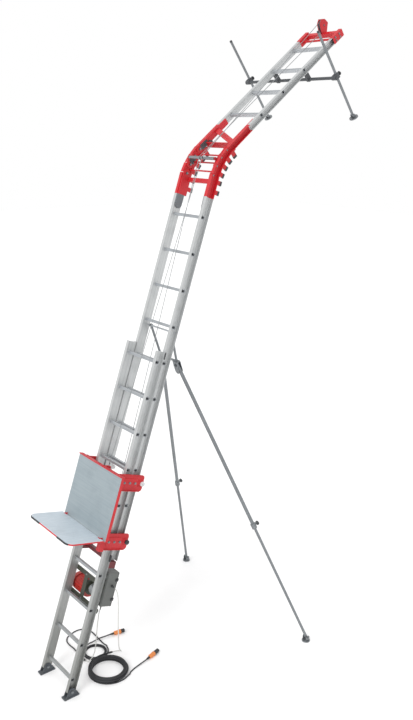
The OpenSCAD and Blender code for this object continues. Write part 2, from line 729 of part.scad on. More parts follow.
// Knee: red track pieces with plates that lap on pins, stop noses and teeth behind
function nose_half(d) = link_pitch / 2 - d * tan(joint_bend / 2) - gap / 2;
module tooth_shape(mid) {
  polygon([
    [plate_half + 1, mid - nose_half(plate_half + 1)], [nose_depth, mid - nose_half(nose_depth)],
    [nose_depth, mid + nose_half(nose_depth)], [plate_half + 1, mid + nose_half(plate_half + 1)]]);
  translate([nose_depth - 2, mid - tooth_w / 2]) square([tooth_depth - nose_depth - 10, tooth_w]);
  translate([tooth_depth - 14, mid]) round_rect(28, tooth_w, 6);
}
module tooth(mid) { plate_yz(inner_x, web_x + 0.5) tooth_shape(mid); }
module track(from, to, depth, low, high) {
  relief = rail_depth * tan(joint_bend / 2);
  intersection() {
    rail(upper_half, depth, from, to);
    plate_yz(0, 2 * upper_half) polygon([
      [-rail_depth, from], [-rail_depth, to], [0, to], [rail_depth, to - high * relief],
      [rail_depth, from + low * relief], [0, from]]);
  }
}
module pin_holes(at, r) { for (z = at) translate([0, 0, z]) rod_x(r, inner_x - 1, web_x + 8); }
module tie(z, reach) { translate([0, 24, z]) rod_x(7, -reach, reach); }
track_end = link_pitch / 2 - 0.3;
lap_clear = plate_half + 4;

// Outer-layer link: plates against the webs, holding the pins tight
module outer_link(i) {
  on_link(i) {
    difference() {
      both() {
        plate_yz(layer_x, web_x - gap) strip([0, 0], [0, link_pitch], plate_half);
        track(link_pitch / 2 - track_end, link_pitch / 2 + track_end, link_depth(i), 1, 1);
        plate_yz(layer_x, web_x + 0.5) {
          translate([-24, link_pitch / 2 - 35]) square([48, 70]);
          translate([plate_half - 12, link_pitch / 2 - 30]) square([14, 60]);
        }
        tooth(link_pitch / 2);
      }
      both() pin_holes([0, link_pitch], knee_pin_r);
    }
    tie(link_pitch / 2, layer_x + 1);
  }
}
module knee_link_1() { color("#d0303a") outer_link(1); }
module knee_link_3() { color("#d0303a") outer_link(3); }

// Inner-layer link, with lugs for the rope guide bar
module knee_link_2() {
  color("#d0303a") on_link(2) {
    difference() {
      both() {
        plate_yz(inner_x, inner_x + plate_t) strip([0, 0], [0, link_pitch], plate_half);
        block([inner_x, -plate_half + 6, link_pitch / 2 - 5], [web_x + 0.5, plate_half, link_pitch / 2 + 5]);
        block([inner_x, plate_half - 12, link_pitch / 2 - 20],
              [inner_x + plate_t, plate_half + 2, link_pitch / 2 + 20]);
        track(link_pitch / 2 - track_end, link_pitch / 2 + track_end, link_depth(2), 1, 1);
        tooth(link_pitch / 2);
        plate_yz(inner_x, inner_x + plate_t)
          strip([-rope_bar_off, link_pitch / 2], [-plate_half + 8, link_pitch / 2], 14);
      }
      both() pin_holes([0, link_pitch], knee_pin_r + fit);
      translate([0, -rope_bar_off, link_pitch / 2])
        rod_x(axle_r, -web_x, web_x);
    }
    tie(link_pitch / 2, inner_x + 1);
  }
}
axle_r = 6;
module knee_guide() {
  color("#a4a7aa") on_link(2) translate([0, -rope_bar_off, link_pitch / 2]) {
    rod_x(rope_bar_r, -inner_x + 6, inner_x - 6);
    rod_x(axle_r - fit, -inner_x - plate_t - 2, inner_x + plate_t + 2);
  }
}

// Fixed base of the knee on the upper ladder
module knee_base() {
  color("#d0303a") on_link(0) {
    difference() {
      both() {
        plate_yz(inner_x, inner_x + plate_t) strip([0, -base_len - 90], [0, 0], plate_half);
        block([inner_x, -plate_half, -base_len - 90], [web_x, plate_half, -lap_clear - 6]);
        track(-base_len, -link_pitch / 2 + track_end, rail_depth, 0, 1);
        for (k = [0, 1]) tooth(-link_pitch / 2 - k * link_pitch);
        block([inner_x, plate_half - 12, -base_len], [web_x + 0.5, nose_depth, -lap_clear - 6]);
      }
      both() pin_holes([0], knee_pin_r + fit);
    }
    block([-inner_x - 1, 34, -64], [inner_x + 1, 62, -26]);
  }
}

// Sleeve that joins the knee to the roof rails, with a deep cross plate
module roof_sleeve() {
  color("#d0303a") on_link(4) {
    difference() {
      both() {
        plate_yz(inner_x, inner_x + plate_t) strip([0, 0], [0, sleeve_len + 90 - sleeve_half], sleeve_half);
        plate_yz(inner_x, inner_x + plate_t) circle(plate_half);
        block([inner_x, -sleeve_half, lap_clear + 6], [web_x, sleeve_half, sleeve_len + 90]);
        track(link_pitch / 2 - track_end, sleeve_len, roof_depth, 1, 0);
        tooth(link_pitch / 2);
        block([inner_x, sleeve_half - 10, link_pitch / 2 - 20],
              [inner_x + plate_t, nose_depth, link_pitch / 2 + 20]);
      }
      both() pin_holes([0], knee_pin_r + fit);
    }
    block([-inner_x - 1, -4, 90], [inner_x + 1, sleeve_half + 26, 98]);
    block([-inner_x - 1, sleeve_half + 14, 90], [inner_x + 1, sleeve_half + 26, 126]);
    both() block([inner_x - 1, -4, 86], [inner_x + plate_t, sleeve_half + 26, 126]);
  }
}
sleeve_half = roof_depth / 2 - 2;

// Knee pins, tight in the outer links
module pin_pair(i) {
  on_link(i) both() for (z = [0, link_pitch]) translate([0, 0, z]) {
    rod_x(knee_pin_r, inner_x, web_x + 1);
    rod_x(knee_pin_r + 4, inner_x - 5, inner_x - gap);
    rod_x(knee_pin_r - 3, inner_x - 1, inner_x + 1);
  }
}
module knee_pins_lower() { color("#b7babd") pin_pair(1); }
module knee_pins_upper() { color("#b7babd") pin_pair(3); }

// Roof section
module roof_rails() {
  color("#c3c6c8") on_roof()
    rail_pair(upper_half, roof_depth, sleeve_len, roof_end, roof_first, roof_rungs);
}
module roof_rungs() { color("#d4d6d8") on_roof() rung_set(upper_half, roof_first, roof_rungs); }

// Head: caps over the rail ends, a cross tube and cheeks for the sheave
cap_len = 140;
cap_t = 3;
cheek_x = 15;
cheek_t = 5;
sheave_pin_r = 8;
module head_bracket() {
  color("#d0303a") on_roof() {
    both() difference() {
      block([web_x - cap_t, -roof_depth / 2 - cap_t, roof_end - cap_len],
            [upper_half + rail_flange + cap_t, roof_depth / 2 + cap_t, roof_end + cap_t + 6]);
      block([web_x, -roof_depth / 2, roof_end - cap_len - 1],
            [upper_half + rail_flange, roof_depth / 2, roof_end]);
    }
    difference() {
      block([-web_x + 1, -20, roof_end - 36], [web_x - 1, 20, roof_end + 4]);
      block([-web_x + 12, -17, roof_end - 33], [web_x - 12, 17, roof_end + 1]);
    }
    both() difference() {
      plate_yz(cheek_x, cheek_x + cheek_t) {
        polygon([[20, roof_end - 36], [20, roof_end + 4], [sheave_off + 10, sheave_along + 60],
                 [sheave_off - 40, sheave_along + 40], [sheave_off - 64, sheave_along],
                 [sheave_off - 40, sheave_along - 40], [sheave_off + 20, sheave_along - 58]]);
      }
      translate([0, sheave_off, sheave_along]) rod_x(sheave_pin_r, cheek_x - 1, cheek_x + cheek_t + 1);
    }
  }
}
module head_sheave() {
  color("#5c5f62") on_roof() translate([0, sheave_off, sheave_along]) {
    rotate([0, 90, 0]) rotate_extrude() polygon([
      [0, -11], [sheave_r + rope_d + 3, -11], [sheave_r + rope_d + 3, -8.5], [sheave_r, -5],
      [sheave_r, 5], [sheave_r + rope_d + 3, 8.5], [sheave_r + rope_d + 3, 11], [0, 11]]);
    rod_x(sheave_pin_r - fit, -cheek_x - cheek_t - 3, cheek_x + cheek_t + 3);
  }
}

// Roof support: a bar clamped under the roof rails, with a leg through a clamp at each end
leg_ahead = bar_d / 2 + roof_leg_d / 2 + 4;
clamp_x = bar_half - 30;
module rail_clamp() {
  difference() {
    plate_yz(upper_half - 12, upper_half + 14) {
      strip([bar_back, bar_along], [bar_back, bar_along + 0.1], bar_d / 2 + 8);
      translate([roof_depth / 2, bar_along - 32]) square([7, 64]);
      polygon([[roof_depth / 2 + 5, bar_along - 18], [roof_depth / 2 + 5, bar_along + 18],
               [bar_back, bar_along + 24], [bar_back, bar_along - 24]]);
    }
    translate([0, bar_back, bar_along]) rod_x(bar_d / 2, upper_half - 13, upper_half + 15);
  }
}
module leg_clamp() {
  difference() {
    union() {
      translate([-24, bar_back, bar_along]) rod_x(bar_d / 2 + 7, 0, 48);
      block([-roof_leg_d / 2 - 7, bar_back - 24, bar_along],
            [roof_leg_d / 2 + 7, bar_back + 24, bar_along + leg_ahead + roof_leg_d / 2 + 8]);
      translate([0, bar_back, bar_along + leg_ahead + roof_leg_d / 2 + 7]) cylinder(r = 5, h = 16);
      translate([0, bar_back, bar_along + leg_ahead + roof_leg_d / 2 + 22]) cylinder(r = 17, h = 15);
    }
    translate([-25, bar_back, bar_along]) rod_x(bar_d / 2, 0, 50);
    translate([0, bar_back - 30, bar_along + leg_ahead]) rotate([-90, 0, 0])
      cylinder(d = roof_leg_d + 2 * fit, h = 60);
  }
}
module roof_bar() {
  color("#4a4d50") on_roof() {
    translate([bar_shift, bar_back, bar_along]) rod_x(bar_d / 2, -bar_half, bar_half);
    both() rail_clamp();
    for (side = [-1, 1]) translate([bar_shift + side * clamp_x, 0, 0]) leg_clamp();
  }
}
pad_pin_r = 5;
module roof_leg(side) {
  color("#6b6e70") on_roof() translate([bar_shift + side * clamp_x, 0, bar_along + leg_ahead])
    difference() {
      translate([0, -leg_above, 0]) rotate([-90, 0, 0])
        cylinder(d = roof_leg_d, h = leg_above + leg_below + 8);
      translate([0, leg_below, 0]) rod_x(pad_pin_r, -roof_leg_d, roof_leg_d);
    }
}
module roof_leg_left() { roof_leg(-1); }
module roof_leg_right() { roof_leg(1); }
module roof_pad(side) {
  ear = roof_leg_d / 2 + 1;
  color("#55585a") on_roof() translate([bar_shift + side * clamp_x, leg_below, bar_along + leg_ahead]) {
    translate([0, 22, 0]) rotate([-90, 0, 0]) cylinder(r = 42, h = 8);
    both() plate_yz(ear, ear + 5) strip([0, 0], [24, 0], 13);
    rod_x(pad_pin_r - fit, -ear - 5, ear + 5);
  }
}
module roof_pad_left() { roof_pad(-1); }
module roof_pad_right() { roof_pad(1); }

// Wire rope: haul run from the drum, load run to the carriage, and the run over the head
module short_bar(a, b) { bar(a + 2 * gap * unit(b - a), b - gap * unit(b - a), rope_d); }
module rope_haul() {
  color("#85888a") on_ladder() short_bar(rope_start, [haul_x, haul_end[0], haul_end[1]]);
}
module rope_load() {
  color("#85888a") on_ladder()
    short_bar([load_x, load_to[0], load_to[1]], [load_x, load_end[0], load_end[1]]);
}
module rope_roof() { color("#85888a") tube(rope_roof_pts, rope_d, 8); }

// Carriage: posts and cross tubes, side brackets round the rails, rear guide rollers
guide_axle_r = 6;
post_x = bracket_x + bracket_t;
tube_t = 3;
post_b = [panel_b + panel_t, panel_b + panel_t + 46];
module box_tube_z(x0, x1, b0, b1, s0, s1) {
  difference() {
    block([x0, b0, s0], [x1, b1, s1]);
    block([x0 + tube_t, b0 + tube_t, s0 - 1], [x1 - tube_t, b1 - tube_t, s1 + 1]);
  }
}
module cross_tube(s) {
  difference() {
    block([-car_w / 2, post_b[0], s], [car_w / 2, post_b[0] + 30, s + 30]);
    block([-car_w / 2 - 1, post_b[0] + tube_t, s + tube_t],
          [car_w / 2 + 1, post_b[0] + 30 - tube_t, s + 30 - tube_t]);
  }
}
module bracket(s) {
  rear = guide_b - 10;
  difference() {
    plate_yz(bracket_x, bracket_x + bracket_t) {
      translate([post_b[0], s]) square([rear - post_b[0], bracket_h]);
      translate([rear, s + bracket_h / 2]) round_rect(60, bracket_h, 28);
    }
    translate([0, guide_b, s + bracket_h / 2]) rod_x(guide_axle_r, bracket_x - 1, bracket_x + bracket_t + 1);
  }
  inner_face = upper_b + rail_depth / 2 - rail_wall - gap;
  block([upper_half + 3, inner_face - 30, s + 26], [bracket_x + 1, inner_face, s + bracket_h - 26]);
  for (e = [s, s + bracket_h - 5])
    block([bracket_x, post_b[0], e], [bracket_x + 16, rear, e + 5]);
}
module carriage_frame() {
  color("#d0303a") on_ladder() {
    both() {
      box_tube_z(post_x, post_x + post_w, post_b[0], post_b[1], car_s, car_top);
      bracket(car_s);
      bracket(car_top - bracket_h);
      block([car_w / 2 - 12, post_b[0], panel_foot], [car_w / 2, post_b[0] + 30, car_top]);
      difference() {
        plate_yz(hinge_x, hinge_x + 8) strip([hinge_b, hinge_s], [post_b[0] + 6, hinge_s], 14);
        translate([0, hinge_b, hinge_s]) rod_x(hinge_r, hinge_x - 1, hinge_x + 9);
      }
      block([hinge_x, post_b[0], hinge_s - 14], [hinge_x + 8, post_b[0] + 30, panel_s + 30]);
    }
    cross_tube(panel_s);
    cross_tube(car_top - 30);
    block([-car_w / 2, panel_b - 8, car_top - 8], [car_w / 2, post_b[0] + 2, car_top]);
    difference() {
      block([load_x - 16, post_b[0] + 28, lug_s - 14], [load_x + 16, lug_b + 18, lug_s + 11.7]);
      translate([load_x, lug_b, lug_s - 15]) cylinder(d = rope_d, h = 8);
    }
  }
}
module back_panel() {
  color("#a9b8c0") on_ladder() difference() {
    block([-car_w / 2, panel_b, panel_foot], [car_w / 2, panel_b + panel_t, car_top - 8]);
    both() block([hinge_x - gap, panel_b - 1, panel_foot - 1],
                 [hinge_x + 8 + gap, panel_b + panel_t + 1, hinge_s + 15]);
  }
}
module guide_roller_pair(s) {
  color("#d9dadb") on_ladder() both() translate([0, guide_b, s]) {
    difference() {
      rod_x(guide_r, upper_half + 2, upper_half + rail_flange - 1);
      rod_x(guide_r + 1, upper_half + 10, upper_half + 18);
    }
    rod_x(guide_r - 4, upper_half + 9, upper_half + 19);
    rod_x(guide_axle_r + 4, upper_half + rail_flange - 2, bracket_x - gap);
    rod_x(guide_axle_r - fit, upper_half + rail_flange - 2, bracket_x + bracket_t + 4);
  }
}
module guide_rollers_lower() { guide_roller_pair(guide_levels[0]); }
module guide_rollers_upper() { guide_roller_pair(guide_levels[1]); }

// Folding tray: pale floor with round front corners, red rim, rubber bumpers near the corners
hinge_x = car_w / 2 - 50;
hinge_r = 6;
floor_t = 4;
rim_h = 18;
rim_w = 20;
lip_t = 6;
module tray_outline(grow) {
  w = car_w / 2 + grow;
  r = tray_corner + grow;
  translate([-w, -tray_depth - grow + r]) square([2 * w, tray_depth + grow - r - 1]);
  translate([-w + r, -tray_depth - grow]) square([2 * w - 2 * r, r + 1]);
  for (x = [-1, 1]) translate([x * (w - r), -tray_depth - grow + r]) circle(r);
}
module tray_inner() {
  w = car_w / 2 - rim_w;
  r = tray_corner - rim_w;
  translate([-w, -tray_depth + rim_w + r]) square([2 * w, tray_depth]);
  translate([-w + r, -tray_depth + rim_w]) square([2 * w - 2 * r, r + 1]);
  for (x = [-1, 1]) translate([x * (w - r), -tray_depth + rim_w + r]) circle(r);
}
module hinge_cut() {
  both() block([hinge_x - gap, -19, -rim_h], [hinge_x + 8 + gap, 20, rim_h]);
}
module platform_floor() {
  color("#c6d0d8") on_tray() difference() {
    translate([0, 0, rim_h / 2 - floor_t]) linear_extrude(floor_t) tray_outline(0);
    hinge_cut();
    both() block([hinge_x - 30 - gap, -10, -rim_h], [hinge_x + 1, 20, rim_h]);
  }
}
module platform_rim() {
  color("#d0303a") on_tray() {
    difference() {
      translate([0, 0, -rim_h / 2]) linear_extrude(rim_h - floor_t) difference() {
        tray_outline(0);
        tray_inner();
      }
      hinge_cut();
    }
    both() {
      block([hinge_x - 30, -40, -rim_h / 2], [hinge_x - gap, 0, rim_h / 2 - floor_t]);
      block([hinge_x - 30, -40, -rim_h / 2], [car_w / 2 - rim_w + 1, -24, rim_h / 2 - floor_t]);
      rod_x(rim_h / 2, hinge_x - 30, hinge_x - gap);
      rod_x(hinge_r - fit, hinge_x - 20, hinge_x + 12);
    }
  }
}
module platform_lip() {
  color("#2d2f31") on_tray() intersection() {
    translate([0, 0, -rim_h / 2]) linear_extrude(rim_h - floor_t) difference() {
      tray_outline(lip_t);
      tray_outline(0);
    }
    both() block([car_w / 2 - 190, -2 * tray_depth, -rim_h],
                 [car_w / 2 - 22, -tray_depth + tray_corner, rim_h]);
  }
}

// Prop: a yoke hung on a rod of the upper ladder, two splayed telescopic legs, swivel feet
eye_x = 152;
cheek_in = prop_d / 2 + 0.6;
knuckle_pin_r = 6;
module prop_yoke() {
  color("#8f9497") {
    on_ladder() both() translate([0, prop_rod_b, prop_rod_s]) difference() {
      rod_x(prop_rod_r + 7, eye_x - 14, eye_x + 14);
      rod_x(prop_rod_r + fit, eye_x - 15, eye_x + 15);
    }
    on_ladder() both() difference() {
      bar([eye_x, prop_rod_b, prop_rod_s], [knuckle_x + 3, knuckle_b - 20, knuckle_s + 28], 22);
      translate([0, prop_rod_b, prop_rod_s]) rod_x(prop_rod_r + fit, eye_x - 25, eye_x + 25);
    }
    for (side = [-1, 1]) translate([side * knuckle[0], knuckle[1], knuckle[2]]) rotate([prop_tilt, 0, 0]) {
      for (y = [-1, 1]) translate([0, y * (cheek_in + 2.5), 0]) rotate([90, 0, 0])
        translate([0, 0, -2.5]) linear_extrude(5) {
          translate([-30, -60]) square([60, 92]);
          translate([0, -60]) circle(30);
        }
      block([-30, -cheek_in - 5, 26], [30, cheek_in + 5, 36]);
      rotate([90, 0, 0]) translate([0, 0, -cheek_in - 9])
        cylinder(r = knuckle_pin_r - fit, h = 2 * cheek_in + 18);
    }
    translate([0, knuckle[1], knuckle[2]]) rotate([prop_tilt, 0, 0]) translate([0, 0, 36])
      rod_x(11, -knuckle_x - 20, knuckle_x + 20);
  }
}
module prop_leg(side) {
  bore = inner_d + 2 * fit;
  color("#83888b") on_leg(side) difference() {
    union() {
      translate([0, 0, -prop_outer]) cylinder(d = prop_d, h = prop_outer + 16);
      translate([0, 0, -prop_outer - 4]) cylinder(d = prop_d + 16, h = 52);
      translate([0, 0, -prop_outer + 22]) rotate([-90, 0, 0]) {
        cylinder(r = 7, h = prop_d / 2 + 26);
        translate([0, 0, prop_d / 2 + 22]) cylinder(r = 19, h = 20);
      }
    }
    translate([0, 0, -prop_outer - 10]) cylinder(d = bore, h = prop_outer - 30);
    rotate([90, 0, 0]) cylinder(r = knuckle_pin_r, h = 2 * prop_d, center = true);
  }
}
module prop_leg_left() { prop_leg(-1); }
module prop_leg_right() { prop_leg(1); }

// Lower prop tube, drilled across for the foot pin
foot_pin_r = 5;
module at_foot(side) { translate([side * foot_spread, foot_back, 0]) children(); }
module prop_inner(side) {
  top = -prop_outer + prop_lap;
  low = -prop_len - 12;
  color("#9a9ea1") difference() {
    on_leg(side) translate([0, 0, low]) ring(inner_d / 2, inner_d / 2 - 2.5, top - low);
    at_foot(side) translate([0, 0, foot_pin_z]) rod_x(foot_pin_r, -40, 40);
  }
}
module prop_inner_left() { prop_inner(-1); }
module prop_inner_right() { prop_inner(1); }
module prop_foot(side) {
  ear = inner_d / 2 + 9;
  color("#56595c") at_foot(side) {
    cylinder(r = prop_pad_r, h = 12);
    both() block([ear, -20, 6], [ear + 5, 20, foot_pin_z]);
    translate([0, 0, foot_pin_z]) {
      both() rod_x(20, ear, ear + 5);
      rod_x(foot_pin_r - fit, -ear - 8, ear + 8);
    }
  }
}
module prop_foot_left() { prop_foot(-1); }
module prop_foot_right() { prop_foot(1); }

lower_rails();
lower_rungs();
lower_guides();
ladder_foot_left();
ladder_foot_right();
stop_bar();
winch_frame();
motor_housing();
gearbox_housing();
gearbox_cover();
motor_pinion();
drum_shaft();
winch_drum();
drum_winding();
control_box();
cord_fittings();
lead_supply();
lead_pendant();
coil_large();
coil_small();
cord_loop();
cord_tails();
cord_plugs();
upper_rails();
upper_rungs();
upper_guides();
rope_haul();
rope_load();
rope_roof();
knee_base();
knee_link_1();
knee_link_2();
knee_link_3();
knee_pins_lower();
knee_pins_upper();
knee_guide();
roof_sleeve();
roof_rails();
roof_rungs();
head_bracket();
head_sheave();
roof_bar();
roof_leg_left();
roof_leg_right();
roof_pad_left();
roof_pad_right();
carriage_frame();
back_panel();
guide_rollers_upper();
guide_rollers_lower();
platform_floor();
platform_rim();
platform_lip();
prop_yoke();
prop_leg_left();
prop_leg_right();
prop_inner_left();
prop_inner_right();
prop_foot_left();
prop_foot_right();
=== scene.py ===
"""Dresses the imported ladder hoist: finishes, cords, wire rope, fittings, camera and light."""

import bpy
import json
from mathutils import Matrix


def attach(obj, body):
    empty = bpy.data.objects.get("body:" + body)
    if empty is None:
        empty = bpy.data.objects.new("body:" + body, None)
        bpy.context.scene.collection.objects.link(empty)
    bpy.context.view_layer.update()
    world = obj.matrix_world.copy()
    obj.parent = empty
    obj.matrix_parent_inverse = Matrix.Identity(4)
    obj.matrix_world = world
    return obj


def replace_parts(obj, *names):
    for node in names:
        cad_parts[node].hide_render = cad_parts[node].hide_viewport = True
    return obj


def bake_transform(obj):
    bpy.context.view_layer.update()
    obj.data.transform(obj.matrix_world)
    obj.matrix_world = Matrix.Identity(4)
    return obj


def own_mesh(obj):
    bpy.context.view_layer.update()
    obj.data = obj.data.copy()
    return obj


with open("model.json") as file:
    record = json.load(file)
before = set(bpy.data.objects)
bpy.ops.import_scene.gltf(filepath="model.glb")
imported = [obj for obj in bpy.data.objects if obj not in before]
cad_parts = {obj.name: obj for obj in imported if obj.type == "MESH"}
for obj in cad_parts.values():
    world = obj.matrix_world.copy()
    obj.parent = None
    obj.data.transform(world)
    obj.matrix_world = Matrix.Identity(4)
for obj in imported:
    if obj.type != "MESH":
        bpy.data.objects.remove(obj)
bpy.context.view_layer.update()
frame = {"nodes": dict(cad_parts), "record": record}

import json
import logging
from collections.abc import Callable, Sequence
from dataclasses import dataclass
from enum import Enum
from functools import cache

import bmesh
import bpy
import numpy as np
from mathutils import Matrix

LOG = logging.getLogger("hoist")
Array = np.ndarray
Pair = tuple[float, float]
Point = tuple[float, float, float]

MM = 0.001
RIGHT, BACK, UP = (1.0, 0.0, 0.0), (0.0, 1.0, 0.0), (0.0, 0.0, 1.0)
FRONT, DOWN = (0.0, -1.0, 0.0), (0.0, 0.0, -1.0)
SIDES = {"left": -1.0, "right": 1.0}

# Layout of the hoist, in millimetres and degrees, as in the part's source
LEAN = 18.3
KNEE_BEND = 8.38
LINK_PITCH = 87.0
RUNG_PITCH = 330.0
FIRST_RUNG = 160.0
UPPER_BACK = 89.0
KNEE_FOOT = 4825.0
DRUM_AT = (112.0, 940.0)
TRAY_HINGE = (0.0, 313.616, 1511.995)
TRAY_DROOP = 5.3


@dataclass(frozen=True)
class Slant:
    """A frame that leans back about X: x across, b to the back, s along the slope."""

    origin: Point = (0.0, 0.0, 0.0)
    tilt: float = 0.0
    splay: float = 0.0

    def place(self, points: Array | Point) -> Array:
        """Swings points about b by the splay, then leans them: y = b cos + s sin and z = s cos - b sin.

        Args:
            points: places in the frame in millimetres, x b s on the last axis.

        Returns:
            World places in millimetres.
        """
        c, u = np.cos(np.radians([self.tilt, self.splay]))
        s, v = np.sin(np.radians([self.tilt, self.splay]))
        lean = np.array([[1.0, 0.0, 0.0], [0.0, c, s], [0.0, -s, c]])
        swing = np.array([[u, 0.0, v], [0.0, 1.0, 0.0], [-v, 0.0, u]])
        return np.asarray(points, float) @ (lean @ swing).T + np.array(self.origin)

    def crossing(self, low: Array, high: Array) -> Array:
        """Where a straight run passes the level of the frame's origin.

        Args:
            low: one end of the run, in the world.
            high: its other end.

        Returns:
            The place on the run.
        """
        up = self.place(UP) - np.array(self.origin)
        below, above = (np.dot(end - np.array(self.origin), up) for end in (low, high))
        return low + (high - low) * below / (below - above)


WORLD = Slant()
LADDER = Slant(tilt=LEAN)


def knee_pin(index: int) -> Array:
    """Back and along place of a knee pin: each link turns the line of pins by one bend."""
    turns = np.radians(KNEE_BEND * np.arange(1, index + 1))
    return LINK_PITCH * np.array([np.sin(turns).sum(), np.cos(turns).sum()]) + (UPPER_BACK, KNEE_FOOT)


def link_slant(index: int) -> Slant:
    """Frame of a knee link: 0 is the fixed base, 1 to 3 the links, 4 the roof section."""
    b, s = knee_pin(max(index - 1, 0))
    return Slant(tuple(LADDER.place((0.0, b, s))), LEAN + index * KNEE_BEND)


ROOF = link_slant(4)
TRAY = Slant(TRAY_HINGE, LEAN - TRAY_DROOP)


# Colours and nodes
def linear(hex_colour: str) -> tuple[float, float, float, float]:
    """Turns a colour to linear light by the sRGB curve.

    Args:
        hex_colour: an sRGB value such as #c9cbcb.

    Returns:
        Red, green, blue and a full alpha.
    """
    srgb = np.array([int(hex_colour[i:i + 2], 16) for i in (1, 3, 5)]) / 255.0
    light = np.where(srgb <= 0.04045, srgb / 12.92, ((srgb + 0.055) / 1.055) ** 2.4)
    return (*light.tolist(), 1.0)


def add_node(tree: bpy.types.NodeTree, kind: str, inputs: dict | None = None,
             **settings: object) -> bpy.types.Node:
    """Adds a node, sets it up, and fills its sockets with values or links.

    Args:
        tree: the node tree.
        kind: the node's type name.
        inputs: socket name or number to a value, or to another node's output socket.
        settings: properties of the node.

    Returns:
        The new node.
    """
    node = tree.nodes.new(kind)
    for key, value in settings.items():
        setattr(node, key, value)
    for key, value in (inputs or {}).items():
        if isinstance(value, bpy.types.NodeSocket):
            tree.links.new(value, node.inputs[key])
        else:
            node.inputs[key].default_value = value
    return node


class Pattern(Enum):
    """What the surface's making leaves on it."""

    DRAWN = "lines along the piece from the die or the rolls"
    SPRAYED = "orange peel of a sprayed and baked coat"
    SPANGLE = "zinc crystals"
    MOULDED = "grain of the mould"
    RIBBED = "ribs across the depth"
    CAST = "sand-cast skin under paint"


# Blender's wave bands repeat every 2 pi / 20 units at scale 1
WAVE_UNIT = 2.0 * np.pi / 20.0
# Texture of a pattern: node, output, inputs and settings
NOISE = ("ShaderNodeTexNoise", "Fac", {"Scale": 1.0, "Detail": 4.0, "Roughness": 0.6}, {})
TEXTURES = {
    Pattern.SPANGLE: ("ShaderNodeTexVoronoi", "Color", {"Scale": 1.0}, {}),
    Pattern.RIBBED: ("ShaderNodeTexWave", "Fac", {"Scale": WAVE_UNIT, "Distortion": 0.4, "Detail": 1.0},
                     {"bands_direction": "Y"}),
}
# Values between which the grain turns to the base tone, the stain comes in and the roughness rises
GRAIN_SPAN, STAIN_SPAN, ROUGH_SPAN = (0.32, 0.68), (0.5, 0.72), (0.3, 0.7)
# Painted shade near the ground fades out with height, in metres; unpainted steel is dark grey, with an edge
# in millimetres
LOW_SHADE_SPAN = (0.1, 1.9)
LOW_SHADE_TONE = "#7a7b76"
BARE_TONE = "#696d71"
BARE_EDGE = 1.0


@dataclass(frozen=True)
class Finish:
    """A procedural finish: two tones from the pattern, a stain over large areas, painted shade near the
    ground where it has a share, roughness and bump.

    Sizes are in millimetres, and the grain has one size or one for each axis.
    """

    name: str
    base: str
    deep: str
    stain: str
    pattern: Pattern
    grain_mm: float | Point
    roughness: float = 0.5
    spread: float = 0.08
    bump_mm: float = 0.12
    metallic: float = 0.0
    ior: float = 1.5
    stain_mm: float = 180.0
    stain_share: float = 0.35
    coat: float = 0.0
    low_shade_share: float = 0.0

    def build(self, tilt: float, bare_mm: float | None) -> bpy.types.Material:
        """Makes the material, with its pattern turned to run along a slope.

        Args:
            tilt: lean of the piece about X in degrees.
            bare_mm: place along the slope below which the steel was left unpainted.

        Returns:
            The material.
        """
        ending = "" if bare_mm is None else "_part_painted"
        material = bpy.data.materials.new(f"{self.name}_{tilt:.0f}{ending}")
        material.use_nodes = True
        tree = material.node_tree
        tree.nodes.clear()
        spot = add_node(tree, "ShaderNodeTexCoord").outputs["Object"]
        lean = {"Vector": spot, "Rotation": (-np.radians(tilt), 0.0, 0.0)}
        size = tuple(MM * np.broadcast_to(self.grain_mm, 3))
        grid = add_node(tree, "ShaderNodeMapping", {**lean, "Scale": size}, vector_type="TEXTURE")
        kind, output, inputs, settings = TEXTURES.get(self.pattern, NOISE)
        inputs = {"Vector": grid.outputs["Vector"], **inputs}
        grain = add_node(tree, kind, inputs, **settings).outputs[output]
        patch = add_node(tree, "ShaderNodeTexNoise", {
            "Vector": spot, "Scale": 1.0 / (MM * self.stain_mm), "Detail": 5.0, "Roughness": 0.65,
        }).outputs["Fac"]
        # Layers over the base tone: what each goes by, its span on that, its share at both ends, and its tone
        layers = [(grain, GRAIN_SPAN, (1.0, 0.0), self.deep),
                  (patch, STAIN_SPAN, (0.0, self.stain_share), self.stain)]
        # Painted shade: the tone darkens towards the ground and fades out with height
        if self.low_shade_share:
            height = add_node(tree, "ShaderNodeSeparateXYZ", {"Vector": spot}).outputs["Z"]
            layers.append((height, LOW_SHADE_SPAN, (self.low_shade_share, 0.0), LOW_SHADE_TONE))
        if bare_mm is not None:
            slope = add_node(tree, "ShaderNodeMapping", lean, vector_type="TEXTURE").outputs["Vector"]
            along = add_node(tree, "ShaderNodeSeparateXYZ", {"Vector": slope}).outputs["Z"]
            edge = (MM * (bare_mm - BARE_EDGE), MM * (bare_mm + BARE_EDGE))
            layers.append((along, edge, (1.0, 0.0), BARE_TONE))
        colour = linear(self.base)
        for value, span, shares, tone in layers:
            share = add_node(tree, "ShaderNodeMapRange", {
                "Value": value, "From Min": span[0], "From Max": span[1],
                "To Min": shares[0], "To Max": shares[1],
            }).outputs["Result"]
            colour = add_node(tree, "ShaderNodeMix", {
                0: share, 6: colour, 7: linear(tone)}, data_type="RGBA").outputs[2]
        rough = add_node(tree, "ShaderNodeMapRange", {
            "Value": patch, "From Min": ROUGH_SPAN[0], "From Max": ROUGH_SPAN[1],
            "To Min": self.roughness - self.spread, "To Max": self.roughness + self.spread,
        }).outputs["Result"]
        normal = add_node(tree, "ShaderNodeBump", {
            "Height": grain, "Strength": 0.6, "Distance": MM * self.bump_mm}).outputs["Normal"]
        shader = add_node(tree, "ShaderNodeBsdfPrincipled", {
            "Base Color": colour, "Roughness": rough, "Normal": normal,
            "Metallic": self.metallic, "IOR": self.ior, "Coat Weight": self.coat})
        add_node(tree, "ShaderNodeOutputMaterial", {"Surface": shader.outputs["BSDF"]})
        return material


